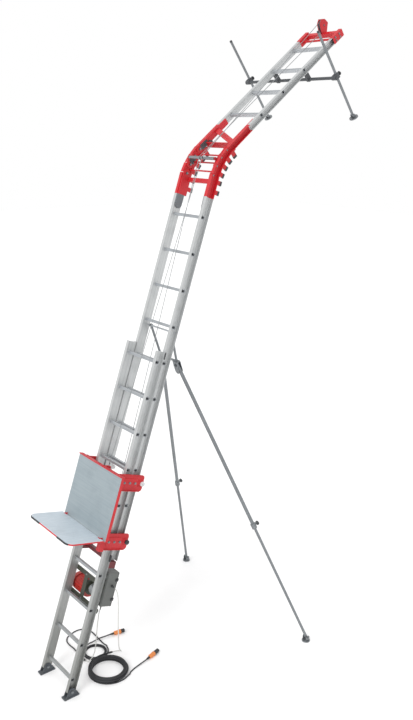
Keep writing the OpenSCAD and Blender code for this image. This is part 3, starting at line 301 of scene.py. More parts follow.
# One finish for each material slot of the record; fine grains are drawn coarse enough to show
FINISHES: dict[str, Finish] = {
    # Extruded aluminium, mill finish: die lines along the rail, soft grey handling marks, and painted shade
    # darkening it near the ground
    "rail_aluminium": Finish(
        "extruded_aluminium", "#c9cbcb", "#b4b6b7", "#9fa2a3", Pattern.DRAWN, (9.0, 9.0, 900.0),
        roughness=0.42, bump_mm=0.15, metallic=0.55, low_shade_share=0.75),
    # Ribbed aluminium rung: ribs 6 mm apart across the tread, polished by boots, and painted shade darkening
    # it near the ground
    "rung_aluminium": Finish(
        "ribbed_rung_aluminium", "#c4c7ca", "#a2a6aa", "#8f9498", Pattern.RIBBED, 6.0,
        roughness=0.4, bump_mm=0.5, metallic=0.55, low_shade_share=0.5),
    # Moulded black nylon: fine mould grain, slightly greyed where it slides
    "guide_nylon": Finish(
        "moulded_nylon", "#3a3c3f", "#303235", "#55585b", Pattern.MOULDED, 6.0,
        roughness=0.55, bump_mm=0.15, ior=1.53),
    # Painted casting: pitted skin under dark grey paint, dusty patches
    "foot_casting": Finish(
        "painted_casting", "#4d5258", "#3f4449", "#6b6d6b", Pattern.CAST, 7.0,
        roughness=0.6, spread=0.1, bump_mm=0.5, stain_mm=90.0),
    # Dark red paint on flat bars: a sprayed coat with scuffs
    "winch_red": Finish(
        "dark_red_paint", "#6d262b", "#5d2025", "#4a2224", Pattern.SPRAYED, 12.0,
        spread=0.1, bump_mm=0.15, stain_mm=120.0),
    # Red enamel on the motor's ribbed casting: a pitted skin with a thin gloss over it
    "motor_red": Finish(
        "motor_enamel", "#b9352d", "#a72d27", "#7f2f2a", Pattern.CAST, 8.0,
        roughness=0.45, spread=0.1, bump_mm=0.3, stain_mm=110.0, coat=0.1),
    # Gear case: olive-black enamel on a casting, oily dust in patches
    "gear_case": Finish(
        "gear_case_enamel", "#3c3f33", "#31342b", "#4c4b40", Pattern.CAST, 8.0,
        spread=0.12, bump_mm=0.4, stain_mm=90.0),
    # Turned steel: fine tool lines
    "steel": Finish(
        "turned_steel", "#9a9da0", "#85888b", "#6f7174", Pattern.DRAWN, (60.0, 4.0, 4.0),
        roughness=0.35, bump_mm=0.08, metallic=1.0),
    # Galvanised wire rope, greased: dull grey strands with dark seams
    "wire_rope": Finish(
        "wire_rope_zinc", "#b4b7b9", "#7d8082", "#6d6f70", Pattern.DRAWN, 3.0,
        spread=0.1, bump_mm=0.2, metallic=0.8),
    # Grey moulded housing: even grain with a little site dust
    "box_grey": Finish(
        "box_abs", "#5f615f", "#575a58", "#6d6f6c", Pattern.MOULDED, 8.0,
        spread=0.07, bump_mm=0.15, ior=1.53),
    # Black polyamide fittings: fine even grain, a dull sheen
    "fitting_black": Finish(
        "fitting_polyamide", "#2b2d2f", "#232527", "#3d3f40", Pattern.MOULDED, 4.0, bump_mm=0.1, ior=1.53),
    # Pale PVC lead: smooth with grey rubbed marks
    "lead_white": Finish(
        "lead_pvc", "#c9c9c5", "#bcbcb8", "#a6a6a2", Pattern.MOULDED, 14.0,
        roughness=0.42, spread=0.06, bump_mm=0.05, ior=1.53, stain_mm=60.0),
    # Black rubber cord: matt, with pale dust
    "cord_black": Finish(
        "cord_rubber", "#2a2b2e", "#222326", "#46474a", Pattern.MOULDED, 9.0,
        roughness=0.62, ior=1.52, stain_mm=70.0),
    # Orange rubber plug: matt, browned where it is held
    "plug_orange": Finish(
        "plug_rubber", "#e08a48", "#d07a3c", "#a8622f", Pattern.MOULDED, 6.0,
        roughness=0.55, ior=1.52, stain_mm=40.0),
    # Red powder coat: orange peel, slight fading and scuffs
    "hoist_red": Finish(
        "red_powder_coat", "#c51d27", "#b81a23", "#9c1d24", Pattern.SPRAYED, 14.0,
        roughness=0.48, spread=0.1, stain_mm=160.0),
    # Cast nylon sheave: grey, darker where the rope runs
    "sheave_nylon": Finish(
        "sheave_nylon", "#5c5f62", "#52555a", "#474a4d", Pattern.MOULDED, 5.0,
        bump_mm=0.1, ior=1.53, stain_mm=40.0),
    # Dark paint on tube: a sprayed coat, greyed by dust
    "support_dark": Finish(
        "dark_tube_paint", "#4a4d50", "#404347", "#5f6163", Pattern.SPRAYED, 12.0,
        spread=0.1, stain_mm=110.0),
    # Galvanised tube: spangles about 9 mm, close in tone, with dull patches
    "zinc_steel": Finish(
        "galvanised_tube", "#888c8f", "#7d8184", "#6c7073", Pattern.SPANGLE, 9.0,
        roughness=0.4, spread=0.1, bump_mm=0.04, metallic=0.75),
    # Coated sheet: pale blue-grey, long rolling lines and rubbed patches
    "panel_sheet": Finish(
        "coated_panel", "#929da2", "#88949a", "#7c878c", Pattern.DRAWN, (400.0, 12.0, 12.0), bump_mm=0.1),
    # Tray sheet: paler, with scrapes across
    "tray_sheet": Finish(
        "coated_tray", "#c6d0d8", "#b7c3cc", "#a3adb3", Pattern.DRAWN, (12.0, 300.0, 12.0), spread=0.1),
    # Rubber edging of the tray: matt black, scuffed grey
    "lip_rubber": Finish(
        "edging_rubber", "#2d2f31", "#242628", "#4a4c4d", Pattern.MOULDED, 6.0,
        roughness=0.65, bump_mm=0.15, ior=1.52, stain_mm=50.0),
    # Natural nylon rollers: off-white, greyed
    "roller_nylon": Finish(
        "roller_nylon", "#d9dadb", "#c9cacb", "#a5a6a7", Pattern.MOULDED, 6.0,
        roughness=0.45, bump_mm=0.08, ior=1.53, stain_mm=40.0),
}


@cache
def finish_for(slot: str, tilt: float, bare_mm: float | None) -> bpy.types.Material:
    """The material of a slot at a slope, bare below a place along it where one is given; made once."""
    return FINISHES[slot].build(tilt, bare_mm)


# Surfaces
@dataclass
class Shell:
    """A grid of points in millimetres: rows along the shape, columns closed around it."""

    points: Array
    looped: bool = False

    def polygons(self, start: int) -> list[list[int]]:
        """Quads between neighbouring grid points, and a cap at each open end.

        Args:
            start: number of the grid's first point in the mesh.

        Returns:
            Lists of point numbers.
        """
        rows, cols = self.points.shape[:2]
        row = np.arange(rows if self.looped else rows - 1)[:, None] * cols
        row_on = (row + cols) % (rows * cols)
        col = np.arange(cols)[None, :]
        col_on = (col + 1) % cols
        quads = np.stack([row + col, row + col_on, row_on + col_on, row_on + col], axis=-1)
        faces = (quads.reshape(-1, 4) + start).tolist()
        if not self.looped:
            ends = np.arange(cols)
            faces += [(start + ends[::-1]).tolist(), (start + (rows - 1) * cols + ends).tolist()]
        return faces

    def moved(self, place: Callable[[Array], Array]) -> "Shell":
        """The same grid with every point sent through a placing function."""
        return Shell(place(self.points), self.looped)

    def stood(self, at: Sequence[float], axis: Sequence[float], side: Sequence[float] = RIGHT) -> "Shell":
        """Turns the grid's own Z to an axis and its X towards a side, then shifts it.

        Args:
            at: where its origin goes.
            axis: direction for its Z.
            side: direction that its X leans to.

        Returns:
            The turned grid.
        """
        z = unit(np.asarray(axis, float))
        x = np.asarray(side, float) - np.dot(side, z) * z
        if np.linalg.norm(x) < 1e-6:
            x = np.cross(BACK, z)
        x = unit(x)
        return Shell(self.points @ np.stack([x, np.cross(z, x), z]) + np.asarray(at, float), self.looped)


def unit(vector: Array) -> Array:
    """Vectors brought to length one along the last axis."""
    return vector / np.linalg.norm(vector, axis=-1, keepdims=True)


def run_along(path: Array) -> Array:
    """Length of a path up to each of its places, as the sum of the steps before it."""
    return np.concatenate([[0.0], np.cumsum(np.linalg.norm(np.diff(path, axis=0), axis=1))])


def beyond(end: Array, inner: Array, reach: float) -> Array:
    """A place past the end of a path, straight on from its last step."""
    return end + reach * unit(end - inner)


def with_ends(path: Array, reach: float) -> Array:
    """A path with one straight step more at each end."""
    return np.vstack([beyond(path[0], path[1], reach), path, beyond(path[-1], path[-2], reach)])


def round_outline(angle: Array) -> Array:
    """Radius factor of a circle: one at every angle."""
    return np.ones_like(angle)


def hex_outline(angle: Array) -> Array:
    """Radius factor of a hexagon of corner radius one: cos 30 over the cosine from the nearest flat."""
    return np.cos(np.pi / 6) / np.cos(np.mod(angle, np.pi / 3) - np.pi / 6)


def lobed_outline(angle: Array) -> Array:
    """Radius factor of a hand knob: seven shallow lobes."""
    return 0.93 + 0.07 * np.cos(7.0 * angle)


def fluted_outline(angle: Array) -> Array:
    """Radius factor of a grip: twelve shallow flutes, the square of a raised cosine."""
    return 1.0 - 0.06 * (0.5 + 0.5 * np.cos(12.0 * angle)) ** 2


def turned(profile: Sequence[Pair], outline: Callable[[Array], Array] = round_outline,
           cols: int = 36) -> Shell:
    """A profile of radius and height carried round Z, its radius scaled by an outline at each angle.

    Args:
        profile: radius and height pairs.
        outline: radius factor by angle.
        cols: points around.

    Returns:
        The grid, one row for each pair.
    """
    angle = np.arange(cols) * 2.0 * np.pi / cols
    r, z = np.array(profile, float).T
    reach = r[:, None] * outline(angle)[None, :]
    height = np.broadcast_to(z[:, None], reach.shape)
    return Shell(np.stack([reach * np.cos(angle), reach * np.sin(angle), height], axis=-1))


def ribs(radius: float, wave: float, drift: float, low: float, step: float, count: int) -> list[Pair]:
    """A ribbed stretch of a profile: every second radius stands out by the wave, and all of them drift.

    Args:
        radius: first radius.
        wave: how far a rib stands out.
        drift: change of radius from pair to pair.
        low: first height.
        step: height from pair to pair.
        count: number of pairs.

    Returns:
        Radius and height pairs.
    """
    return [(radius + wave * (k % 2) + drift * k, low + step * k) for k in range(count)]


def slab(width: float, height: float, corner: float, levels: Sequence[Pair], cols: int = 24) -> Shell:
    """A rounded rectangle carried up Z: a corner circle added to an inner rectangle, inset level by level.

    Args:
        width: size along X.
        height: size along Y.
        corner: corner radius.
        levels: inset and height pairs.
        cols: points around, a multiple of four.

    Returns:
        The grid, one row for each level.
    """
    angle = (np.arange(cols) + 0.5) * 2.0 * np.pi / cols
    inset, z = np.array(levels, float).T
    least = 0.2
    r = np.maximum(corner - inset, least)[:, None]
    x = np.sign(np.cos(angle)) * (width / 2 - corner) + r * np.cos(angle)
    y = np.sign(np.sin(angle)) * (height / 2 - corner) + r * np.sin(angle)
    squeeze = np.maximum(inset - corner + least, 0.0)[:, None]
    x, y = x - np.sign(x) * squeeze, y - np.sign(y) * squeeze
    return Shell(np.stack([x, y, np.broadcast_to(z[:, None], x.shape)], axis=-1))


def smooth_route(points: Sequence[Sequence[float]], steps: int) -> Array:
    """A smooth curve through points: the cubic whose slope at each point runs between its neighbours.

    Args:
        points: places to pass through.
        steps: parts that each stretch is cut into.

    Returns:
        Places along the curve.
    """
    p = np.asarray(points, float)
    k = np.arange(len(p) - 1)
    rows = (np.maximum(k - 1, 0), k, k + 1, np.minimum(k + 2, len(p) - 1))
    a, b, c, d = (p[row][:, None] for row in rows)
    t = (np.arange(steps) / steps)[None, :, None]
    bend = t ** 2 * (2 * a - 5 * b + 4 * c - d) + t ** 3 * (3 * b - a - 3 * c + d)
    curve = 0.5 * (2 * b + t * (c - a) + bend)
    return np.vstack([curve.reshape(-1, 3), p[-1:]])


def sweep(path: Array, section: Array, lay: float = 0.0) -> Shell:
    """A closed section carried along a path, kept from spinning and then turned by the lay.

    Args:
        path: places along the middle.
        section: points of the section in its own plane.
        lay: length of path for one full turn of the section, or 0 for none.

    Returns:
        The grid, one row for each place.
    """
    ahead = unit(np.gradient(path, axis=0))
    across = np.zeros_like(path)
    seed = np.eye(3)[np.argmin(np.abs(ahead[0]))]
    # Each place takes the side direction of the one before it, so this runs along the path
    for i, t in enumerate(ahead):
        seed = unit(seed - np.dot(seed, t) * t)
        across[i] = seed
    over = np.cross(ahead, across)
    spin = (2.0 * np.pi * run_along(path) / lay if lay else np.zeros(len(path)))[:, None]
    u = np.cos(spin) * section[:, 0] - np.sin(spin) * section[:, 1]
    v = np.sin(spin) * section[:, 0] + np.cos(spin) * section[:, 1]
    return Shell(path[:, None] + u[..., None] * across[:, None] + v[..., None] * over[:, None])


def circle_section(radius: float, cols: int = 12) -> Array:
    """A circle as a section."""
    angle = np.arange(cols) * 2.0 * np.pi / cols
    return radius * np.stack([np.cos(angle), np.sin(angle)], axis=-1)


def strand_section(radius: float, strands: int = 6, cols: int = 24) -> Array:
    """A rope's section: the radius dips between strands as the absolute cosine of half their count."""
    dip = np.abs(np.cos(strands * np.pi * np.arange(cols) / cols))
    return (0.8 + 0.2 * dip)[:, None] * circle_section(radius, cols)


def bolt(radius: float) -> list[Shell]:
    """A washer and a chamfered hexagon head that stand on Z = 0.

    Args:
        radius: radius of the shank, which all other sizes follow.

    Returns:
        The two grids.
    """
    washer = radius * np.array([(1.85, 0.0), (1.95, 0.1), (1.95, 0.35), (1.8, 0.45)])
    head = radius * np.array([(1.55, 0.4), (1.62, 0.5), (1.62, 1.35), (1.36, 1.6)])
    return [turned(washer, cols=18), turned(head, hex_outline, cols=18)]


def knob(radius: float, height: float) -> Shell:
    """A hand knob with seven lobes, standing on Z = 0."""
    profile = [(0.45, 0.0), (0.86, 0.04), (1.0, 0.2), (1.0, 0.72), (0.86, 0.92), (0.4, 1.0)]
    return turned(np.array(profile) * (radius, height), lobed_outline, cols=42)


def set_at(shells: Sequence[Shell], places: Sequence[Sequence[float]], axis: Sequence[float], slant: Slant,
           side: Sequence[float] = RIGHT) -> list[Shell]:
    """Stands grids at several places of a frame, all along one axis.

    Args:
        shells: the grids.
        places: where their origins go, in the frame.
        axis: direction for their Z, in the frame.
        slant: the frame.
        side: direction that their X leans to.

    Returns:
        The placed grids.
    """
    return [shell.stood(at, axis, side).moved(slant.place) for at in places for shell in shells]


def set_beside(shells: Sequence[Shell], places: Sequence[Point], slant: Slant, facing: float = 1.0,
               side: Sequence[float] = UP) -> list[Shell]:
    """Stands grids on both sides of a frame's middle, as mirror places.

    Args:
        shells: the grids.
        places: where their origins go on the right side, in the frame.
        slant: the frame.
        facing: 1 where their Z points away from the middle, -1 where it points to it.
        side: direction that their X leans to.

    Returns:
        The placed grids.
    """
    return [part for hand in SIDES.values() for part in set_at(
        shells, [(hand * x, b, s) for x, b, s in places], (hand * facing, 0.0, 0.0), slant, side)]


# Direction that bolt heads lean their first corner to
BOLT_SIDE = (0.3, 0.4, 0.5)


def bolts(places: Sequence[Point], axis: Point, radius: float, slant: Slant) -> list[Shell]:
    """Bolt heads at several places of a frame, all along one axis."""
    return set_at(bolt(radius), places, axis, slant, BOLT_SIDE)


def side_bolts(places: Sequence[Point], radius: float, slant: Slant, facing: float = 1.0) -> list[Shell]:
    """Bolt heads on both sides of a frame's middle."""
    return set_beside(bolt(radius), places, slant, facing, BOLT_SIDE)


def make_piece(name: str, shells: Sequence[Shell], slot: str, body: str | None, tilt: float = LEAN,
               sharp: float = 35.0) -> bpy.types.Object:
    """Puts grids into one mesh object at the origin, dresses it and lets it ride on a body.

    Args:
        name: the piece's name.
        shells: its grids, in world millimetres.
        slot: material slot that its finish comes from.
        body: CAD body that it moves with, or None where it rides on no body.
        tilt: slope that its pattern follows.
        sharp: angle in degrees past which an edge stays sharp.

    Returns:
        The object.
    """
    faces: list[list[int]] = []
    start = 0
    for shell in shells:
        faces += shell.polygons(start)
        start += shell.points.shape[0] * shell.points.shape[1]
    points = np.concatenate([shell.points.reshape(-1, 3) for shell in shells]) * MM
    mesh = bpy.data.meshes.new(name)
    mesh.from_pydata(points.tolist(), [], faces)
    work = bmesh.new()
    work.from_mesh(mesh)
    bmesh.ops.recalc_face_normals(work, faces=work.faces[:])
    work.to_mesh(mesh)
    work.free()
    mesh.shade_smooth()
    mesh.set_sharp_from_angle(angle=np.radians(sharp))
    mesh.materials.append(finish_for(slot, tilt, None))
    piece = bpy.data.objects.new(name, mesh)
    bpy.context.scene.collection.objects.link(piece)
    if body is not None:
        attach(piece, body)
    LOG.info("%s: %d points, slot %s, body %s", name, len(points), slot, body)
    return piece


@dataclass
class Studio:
    """Camera at the photograph's angle, soft light and a pale floor."""

    focal_px: float = 781.03
    image_height: int = 720
    sensor_mm: float = 36.0
    far_clip: float = 200.0
    azimuth: float = 50.05
    elevation: float = 16.21
    roll: float = 1.15
    stand: Point = (5.5065, -2.8885, 4.9066)
    sun_strength: float = 1.3
    sun_width: float = 25.0
    sun_turn: Point = (52.0, 0.0, 20.0)
    floor_half: float = 40.0
    floor_tones: tuple[str, str] = ("#f6f6f6", "#fbfbfb")

    def build(self) -> None:
        """Makes the camera, the lights, the sky and the floor."""
        self._camera()
        self._light()
        self._floor()

    def _camera(self) -> None:
        """Looks from azimuth and elevation with a small roll; the long side of the image is its height."""
        a, e, r = np.radians([self.azimuth, self.elevation, self.roll])
        back = np.array([np.sin(a) * np.cos(e), -np.cos(a) * np.cos(e), np.sin(e)])
        level = np.array([np.cos(a), np.sin(a), 0.0])
        up = np.cross(back, level)
        right, top = level * np.cos(r) + up * np.sin(r), up * np.cos(r) - level * np.sin(r)
        lens = bpy.data.cameras.new("photo_camera")
        lens.sensor_width = self.sensor_mm
        lens.lens = self.focal_px / self.image_height * self.sensor_mm
        lens.clip_end = self.far_clip
        camera = bpy.data.objects.new("photo_camera", lens)
        camera.matrix_world = Matrix(np.vstack([
            np.column_stack([right, top, back, self.stand]), [0.0, 0.0, 0.0, 1.0]]).tolist())
        bpy.context.scene.collection.objects.link(camera)
        bpy.context.scene.camera = camera

    def _light(self) -> None:
        """A bright even sky and one broad soft sun from the upper left of the camera."""
        scene = bpy.context.scene
        scene.view_settings.view_transform = "Standard"
        world = bpy.data.worlds.new("studio_sky")
        world.use_nodes = True
        sky = world.node_tree.nodes["Background"].inputs
        sky["Color"].default_value = (1.0, 1.0, 1.0, 1.0)
        sky["Strength"].default_value = 1.0
        scene.world = world
        sun = bpy.data.lights.new("key_light", "SUN")
        sun.energy = self.sun_strength
        sun.angle = np.radians(self.sun_width)
        key = bpy.data.objects.new("key_light", sun)
        key.rotation_euler = np.radians(self.sun_turn)
        scene.collection.objects.link(key)

    def _floor(self) -> None:
        """A wide flat floor with a faint mottle."""
        h = self.floor_half
        mesh = bpy.data.meshes.new("floor")
        mesh.from_pydata([(-h, -h, 0.0), (h, -h, 0.0), (h, h, 0.0), (-h, h, 0.0)], [], [(0, 1, 2, 3)])
        material = bpy.data.materials.new("pale_floor")
        material.use_nodes = True
        tree = material.node_tree
        tree.nodes.clear()
        spot = add_node(tree, "ShaderNodeTexCoord").outputs["Object"]
        mottle = add_node(tree, "ShaderNodeTexNoise", {
            "Vector": spot, "Scale": 2.0, "Detail": 3.0}).outputs["Fac"]
        first, second = (linear(tone) for tone in self.floor_tones)
        tone = add_node(tree, "ShaderNodeMix", {0: mottle, 6: first, 7: second}, data_type="RGBA").outputs[2]
        shader = add_node(tree, "ShaderNodeBsdfPrincipled", {"Base Color": tone, "Roughness": 0.9})
        add_node(tree, "ShaderNodeOutputMaterial", {"Surface": shader.outputs["BSDF"]})
        mesh.materials.append(material)
        floor = bpy.data.objects.new("floor", mesh)
        bpy.context.scene.collection.objects.link(floor)


class CordKind(Enum):
    """What a cord is: diameter, slot, parts that each stretch is cut into, far end and lay."""

    LEAD = (9.0, "lead_white", 8, "connector", "hanging")
    CORD = (12.0, "cord_black", 3, "plug", "coiled")


@dataclass(frozen=True)
class Coil:
    """A coil of cord piled on the ground: turns side by side, turns on each other, and turns in all."""

    centre: Pair
    radius: float
    across: int
    layers: int
    turns: float
    start: float
    cord_d: float = 12.0
    rings: int = 24
    step: float = 13.0
    layer_step: float = 12.7
    reach: float = 18.0
    ease: float = 0.25

    def path(self) -> Array:
        """Places along the cord, with a short straight piece at each end.

        The radius runs in and out by one step a turn, the height climbs where it turns back, and both ends
        swing out over the last part of a turn.

        Returns:
            The places.
        """
        t = np.arange(int(round(self.turns * self.rings)) + 1) / self.rings
        m = np.mod(np.minimum(t, self.across * self.layers - 0.001), 2 * self.across)
        inwards = np.where(m < self.across, m, 2 * self.across - m)
        backs = self.across * np.arange(1, self.layers)[None, :]
        rise = np.clip((t[:, None] - backs + self.ease) / (2 * self.ease), 0.0, 1.0)
        climb = (rise ** 2 * (3.0 - 2.0 * rise)).sum(axis=1)
        out = sum(np.maximum(0.0, 1.0 - left / self.ease) ** 2 for left in (t, self.turns - t))
        r = self.radius - self.step * inwards + self.reach * out
        angle = np.radians(self.start - 360.0 * t)
        path = np.stack([self.centre[0] + r * np.cos(angle), self.centre[1] + r * np.sin(angle),
                         self.cord_d / 2 + self.layer_step * climb], axis=-1)
        return with_ends(path, self.cord_d)


@dataclass
class CordSet:
    """Pale leads from the control box, black cords in two coils, their connectors and plugs."""

    coil_large: Coil = Coil(
        centre=(140.0, 470.0), radius=189.0, across=3, layers=4, turns=11.0 + 2.0 / 3.0, start=32.0)
    coil_small: Coil = Coil(centre=(-166.0, 518.0), radius=119.0, across=2, layers=2, turns=3.75, start=90.0)
    coil_out: float = 14.0
    connector_len: float = 50.0
    gland_supply: Point = (287.0, 450.0, 984.0)
    gland_pendant: Point = (205.0, 103.0, 850.0)
    gland_out: Pair = (22.0, 20.0)
    joint_small: tuple[Point, Point] = ((-110.0, 374.0, 10.0), (-160.0, 370.0, 10.0))
    plug_large: tuple[Point, Point] = ((248.0, 842.0, 22.5), (203.0, 1007.0, 22.5))
    plug_small: tuple[Point, Point] = ((-294.0, 778.0, 22.5), (-268.0, 926.0, 22.5))
    plug_line: tuple[float, ...] = (-22.0, 0.0, 20.0, 40.0, 60.0)
    supply_drop: tuple[Point, ...] = (
        (334, 449, 976), (354, 448, 955), (363, 447, 925), (367, 447, 870), (358, 452, 760), (330, 467, 580),
        (278, 503, 410), (215, 545, 290), (152, 592, 195), (115, 624, 149), (86, 648, 116))
    lead_bend: float = 52.0
    lead_turn: float = 112.0
    lead_fall: float = 38.0
    lead_straight: float = 16.0
    pendant_drop: tuple[Point, ...] = (
        (203, 345, 715), (196, 334, 620), (178, 332, 500), (146, 340, 370), (96, 356, 250), (40, 370, 156),
        (-8, 378, 92), (-48, 381, 44), (-74, 378, 19), (-96, 375, 11))
    loop: tuple[Point, ...] = (
        (-176, 369, 9), (-215, 370, 6), (-275, 378, 6), (-345, 384, 6), (-420, 378, 6), (-490, 388, 6),
        (-542, 430, 6), (-570, 500, 6), (-576, 570, 6), (-545, 630, 6), (-480, 660, 6), (-390, 662, 6),
        (-300, 656, 6), (-230, 655, 6))
    tail_large: tuple[Point, ...] = ((288, 628, 6), (266, 690, 6), (256, 765, 13))
    tail_small: tuple[Point, ...] = ((-303, 566, 20), (-309, 612, 20), (-309, 668, 22), (-304, 718, 20))

    def build(self) -> None:
        """Makes every cord with the pieces on it."""
        large, small = self.coil_large.path(), self.coil_small.path()
        first, last = large[-1], beyond(large[-1], large[-2], self.connector_len)
        gland = np.array(self.gland_supply)
        self._cord(
            "supply_lead", CordKind.LEAD,
            [gland, gland + self.gland_out[0] * np.array(RIGHT), self.supply_drop, self._way_in(first, last)],
            ["lead_supply"],
            [self._gland("gland_supply", gland, RIGHT), self._connector("connector_large", first, last)])
        self._cord(
            "large_cord", CordKind.CORD,
            [large[::-1], beyond(large[0], large[1], self.coil_out), self.tail_large,
             self._to_plug(self.plug_large)],
            ["coil_large", "cord_tails"], self._plug("plug_large", self.plug_large))
        first, last = (np.array(place) for place in self.joint_small)
        gland, down = LADDER.place(self.gland_pendant), LADDER.place(DOWN)
        self._cord(
            "pendant_lead", CordKind.LEAD,
            [gland, gland + self.gland_out[1] * down, self.pendant_drop, first], ["lead_pendant"],
            [self._gland("gland_pendant", gland, down), self._connector("connector_small", first, last)])
        self._cord(
            "small_cord", CordKind.CORD,
            [last, self.loop, with_ends(small, self.coil_out), self.tail_small,
             self._to_plug(self.plug_small)],
            ["cord_loop", "coil_small", "cord_tails"], self._plug("plug_small", self.plug_small))

    def _way_in(self, first: Array, last: Array) -> Array:
        """The supply lead's last stretch: round a circle beside the connector's line, then straight into it.

        The height falls with the square of the angle that is left.

        Args:
            first: the connector's end on the coil.
            last: its other end, where the lead enters.

        Returns:
            Places along the lead.
        """
        out = unit(last - first)
        angle = np.radians(np.linspace(self.lead_turn, 0.0, 6))[:, None]
        side = np.array([out[1], -out[0], 0.0])
        swing = self.lead_bend * (side * (1.0 - np.cos(angle)) + out * np.sin(angle))
        arc = last + self.lead_straight * out + swing
        arc[:, 2:] += self.lead_fall * (angle / angle[0]) ** 2
        return np.vstack([arc, last])

    def _to_plug(self, plug: tuple[Point, Point]) -> Array:
        """Places in line with a plug, so that the cord runs straight in and on to its terminals."""
        at, tip = np.array(plug)
        return at + np.array(self.plug_line)[:, None] * unit(tip - at)

    def _cord(self, name: str, kind: CordKind, route: Sequence[Array], nodes: Sequence[str],
              pieces: Sequence[bpy.types.Object]) -> None:
        """Sweeps one cord along its route and hides its solids.

        Args:
            name: the cord's name.
            kind: what it is.
            route: the places that it passes, stretch by stretch.
            nodes: CAD nodes that it stands for.
            pieces: the pieces on it; not used.
        """
        diameter, slot, steps, far_end, lay = kind.value
        path = smooth_route(np.vstack(route), steps)
        path[:, 2] = np.maximum(path[:, 2], diameter / 2)
        cord = make_piece(name, [sweep(path, circle_section(diameter / 2))], slot, "base", tilt=0.0)
        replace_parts(cord, *nodes)

    def _gland(self, name: str, at: Array, axis: Sequence[float]) -> bpy.types.Object:
        """A cable gland: hexagon nut, domed cap and a ribbed sleeve that tapers onto the lead.

        Args:
            name: the piece's name.
            at: where the lead leaves it.
            axis: direction of the lead there.

        Returns:
            The object.
        """
        parts = [turned([(12.4, -26.0), (13.0, -25.0), (13.0, -19.0), (12.2, -18.0)], hex_outline),
                 turned([(10.6, -18.5), (10.6, -13.0), (9.6, -10.0), (7.4, -8.2)]),
                 turned([(7.2, -9.0), *ribs(6.4, 1.1, -0.28, -8.0, 3.4, 10), (4.7, 27.0)])]
        piece = make_piece(name, set_at(parts, [at], axis, WORLD, UP), "fitting_black", "base")
        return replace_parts(piece, "cord_fittings")

    def _connector(self, name: str, first: Array, last: Array) -> bpy.types.Object:
        """An in-line connector: two ribbed halves, a collar between them and tapered ends.

        Args:
            name: the piece's name.
            first: one end.
            last: the other end.

        Returns:
            The object.
        """
        near, far = (ribs(8.6, 0.9, 0.0, low, 2.0, 6) for low in (9.0, 31.0))
        profile = [(6.4, 0.0), (7.6, 2.0), (8.4, 7.0), *near, (9.0, 21.0), (10.0, 22.0), (10.0, 29.0),
                   (9.0, 30.0), *far, (8.4, 43.0), (7.4, 48.0), (6.4, 50.0)]
        shells = set_at([turned(profile, cols=28)], [first], last - first, WORLD, UP)
        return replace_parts(make_piece(name, shells, "fitting_black", "base"), "cord_fittings")

    def _plug(self, name: str, ends: tuple[Point, Point]) -> list[bpy.types.Object]:
        """A site plug: black ribbed neck and shroud, and an orange waisted grip with flutes.

        Args:
            name: the grip's name.
            ends: where the cord enters, and the tip.

        Returns:
            The two objects.
        """
        at, tip = np.array(ends)
        size = float(np.linalg.norm(tip - at))
        neck = turned(ribs(7.6, 1.6, 0.22, 0.0, 3.0, 13))
        cap = turned([
            (19.0, 109.0), (18.4, 110.0), (18.4, 113.0), (18.9, 114.0), (18.9, size - 14.0),
            (18.2, size - 13.0), (18.2, size - 10.0), (18.9, size - 9.0), (18.9, size - 3.0), (17.4, size),
            (13.0, size), (12.4, size - 8.0)])
        grip = turned([
            (13.0, 36.0), (17.0, 40.0), (19.4, 48.0), (19.0, 62.0), (19.6, 80.0), (21.6, 90.0), (21.9, 100.0),
            (21.9, 107.0), (20.8, 110.0)], fluted_outline, cols=72)
        pieces = [make_piece(piece, set_at(shells, [at], tip - at, WORLD, UP), slot, "base", tilt=0.0)
                  for piece, shells, slot in ((f"{name}_cuff", [neck, cap], "fitting_black"),
                                              (name, [grip], "plug_orange"))]
        return [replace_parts(piece, "cord_plugs") for piece in pieces]


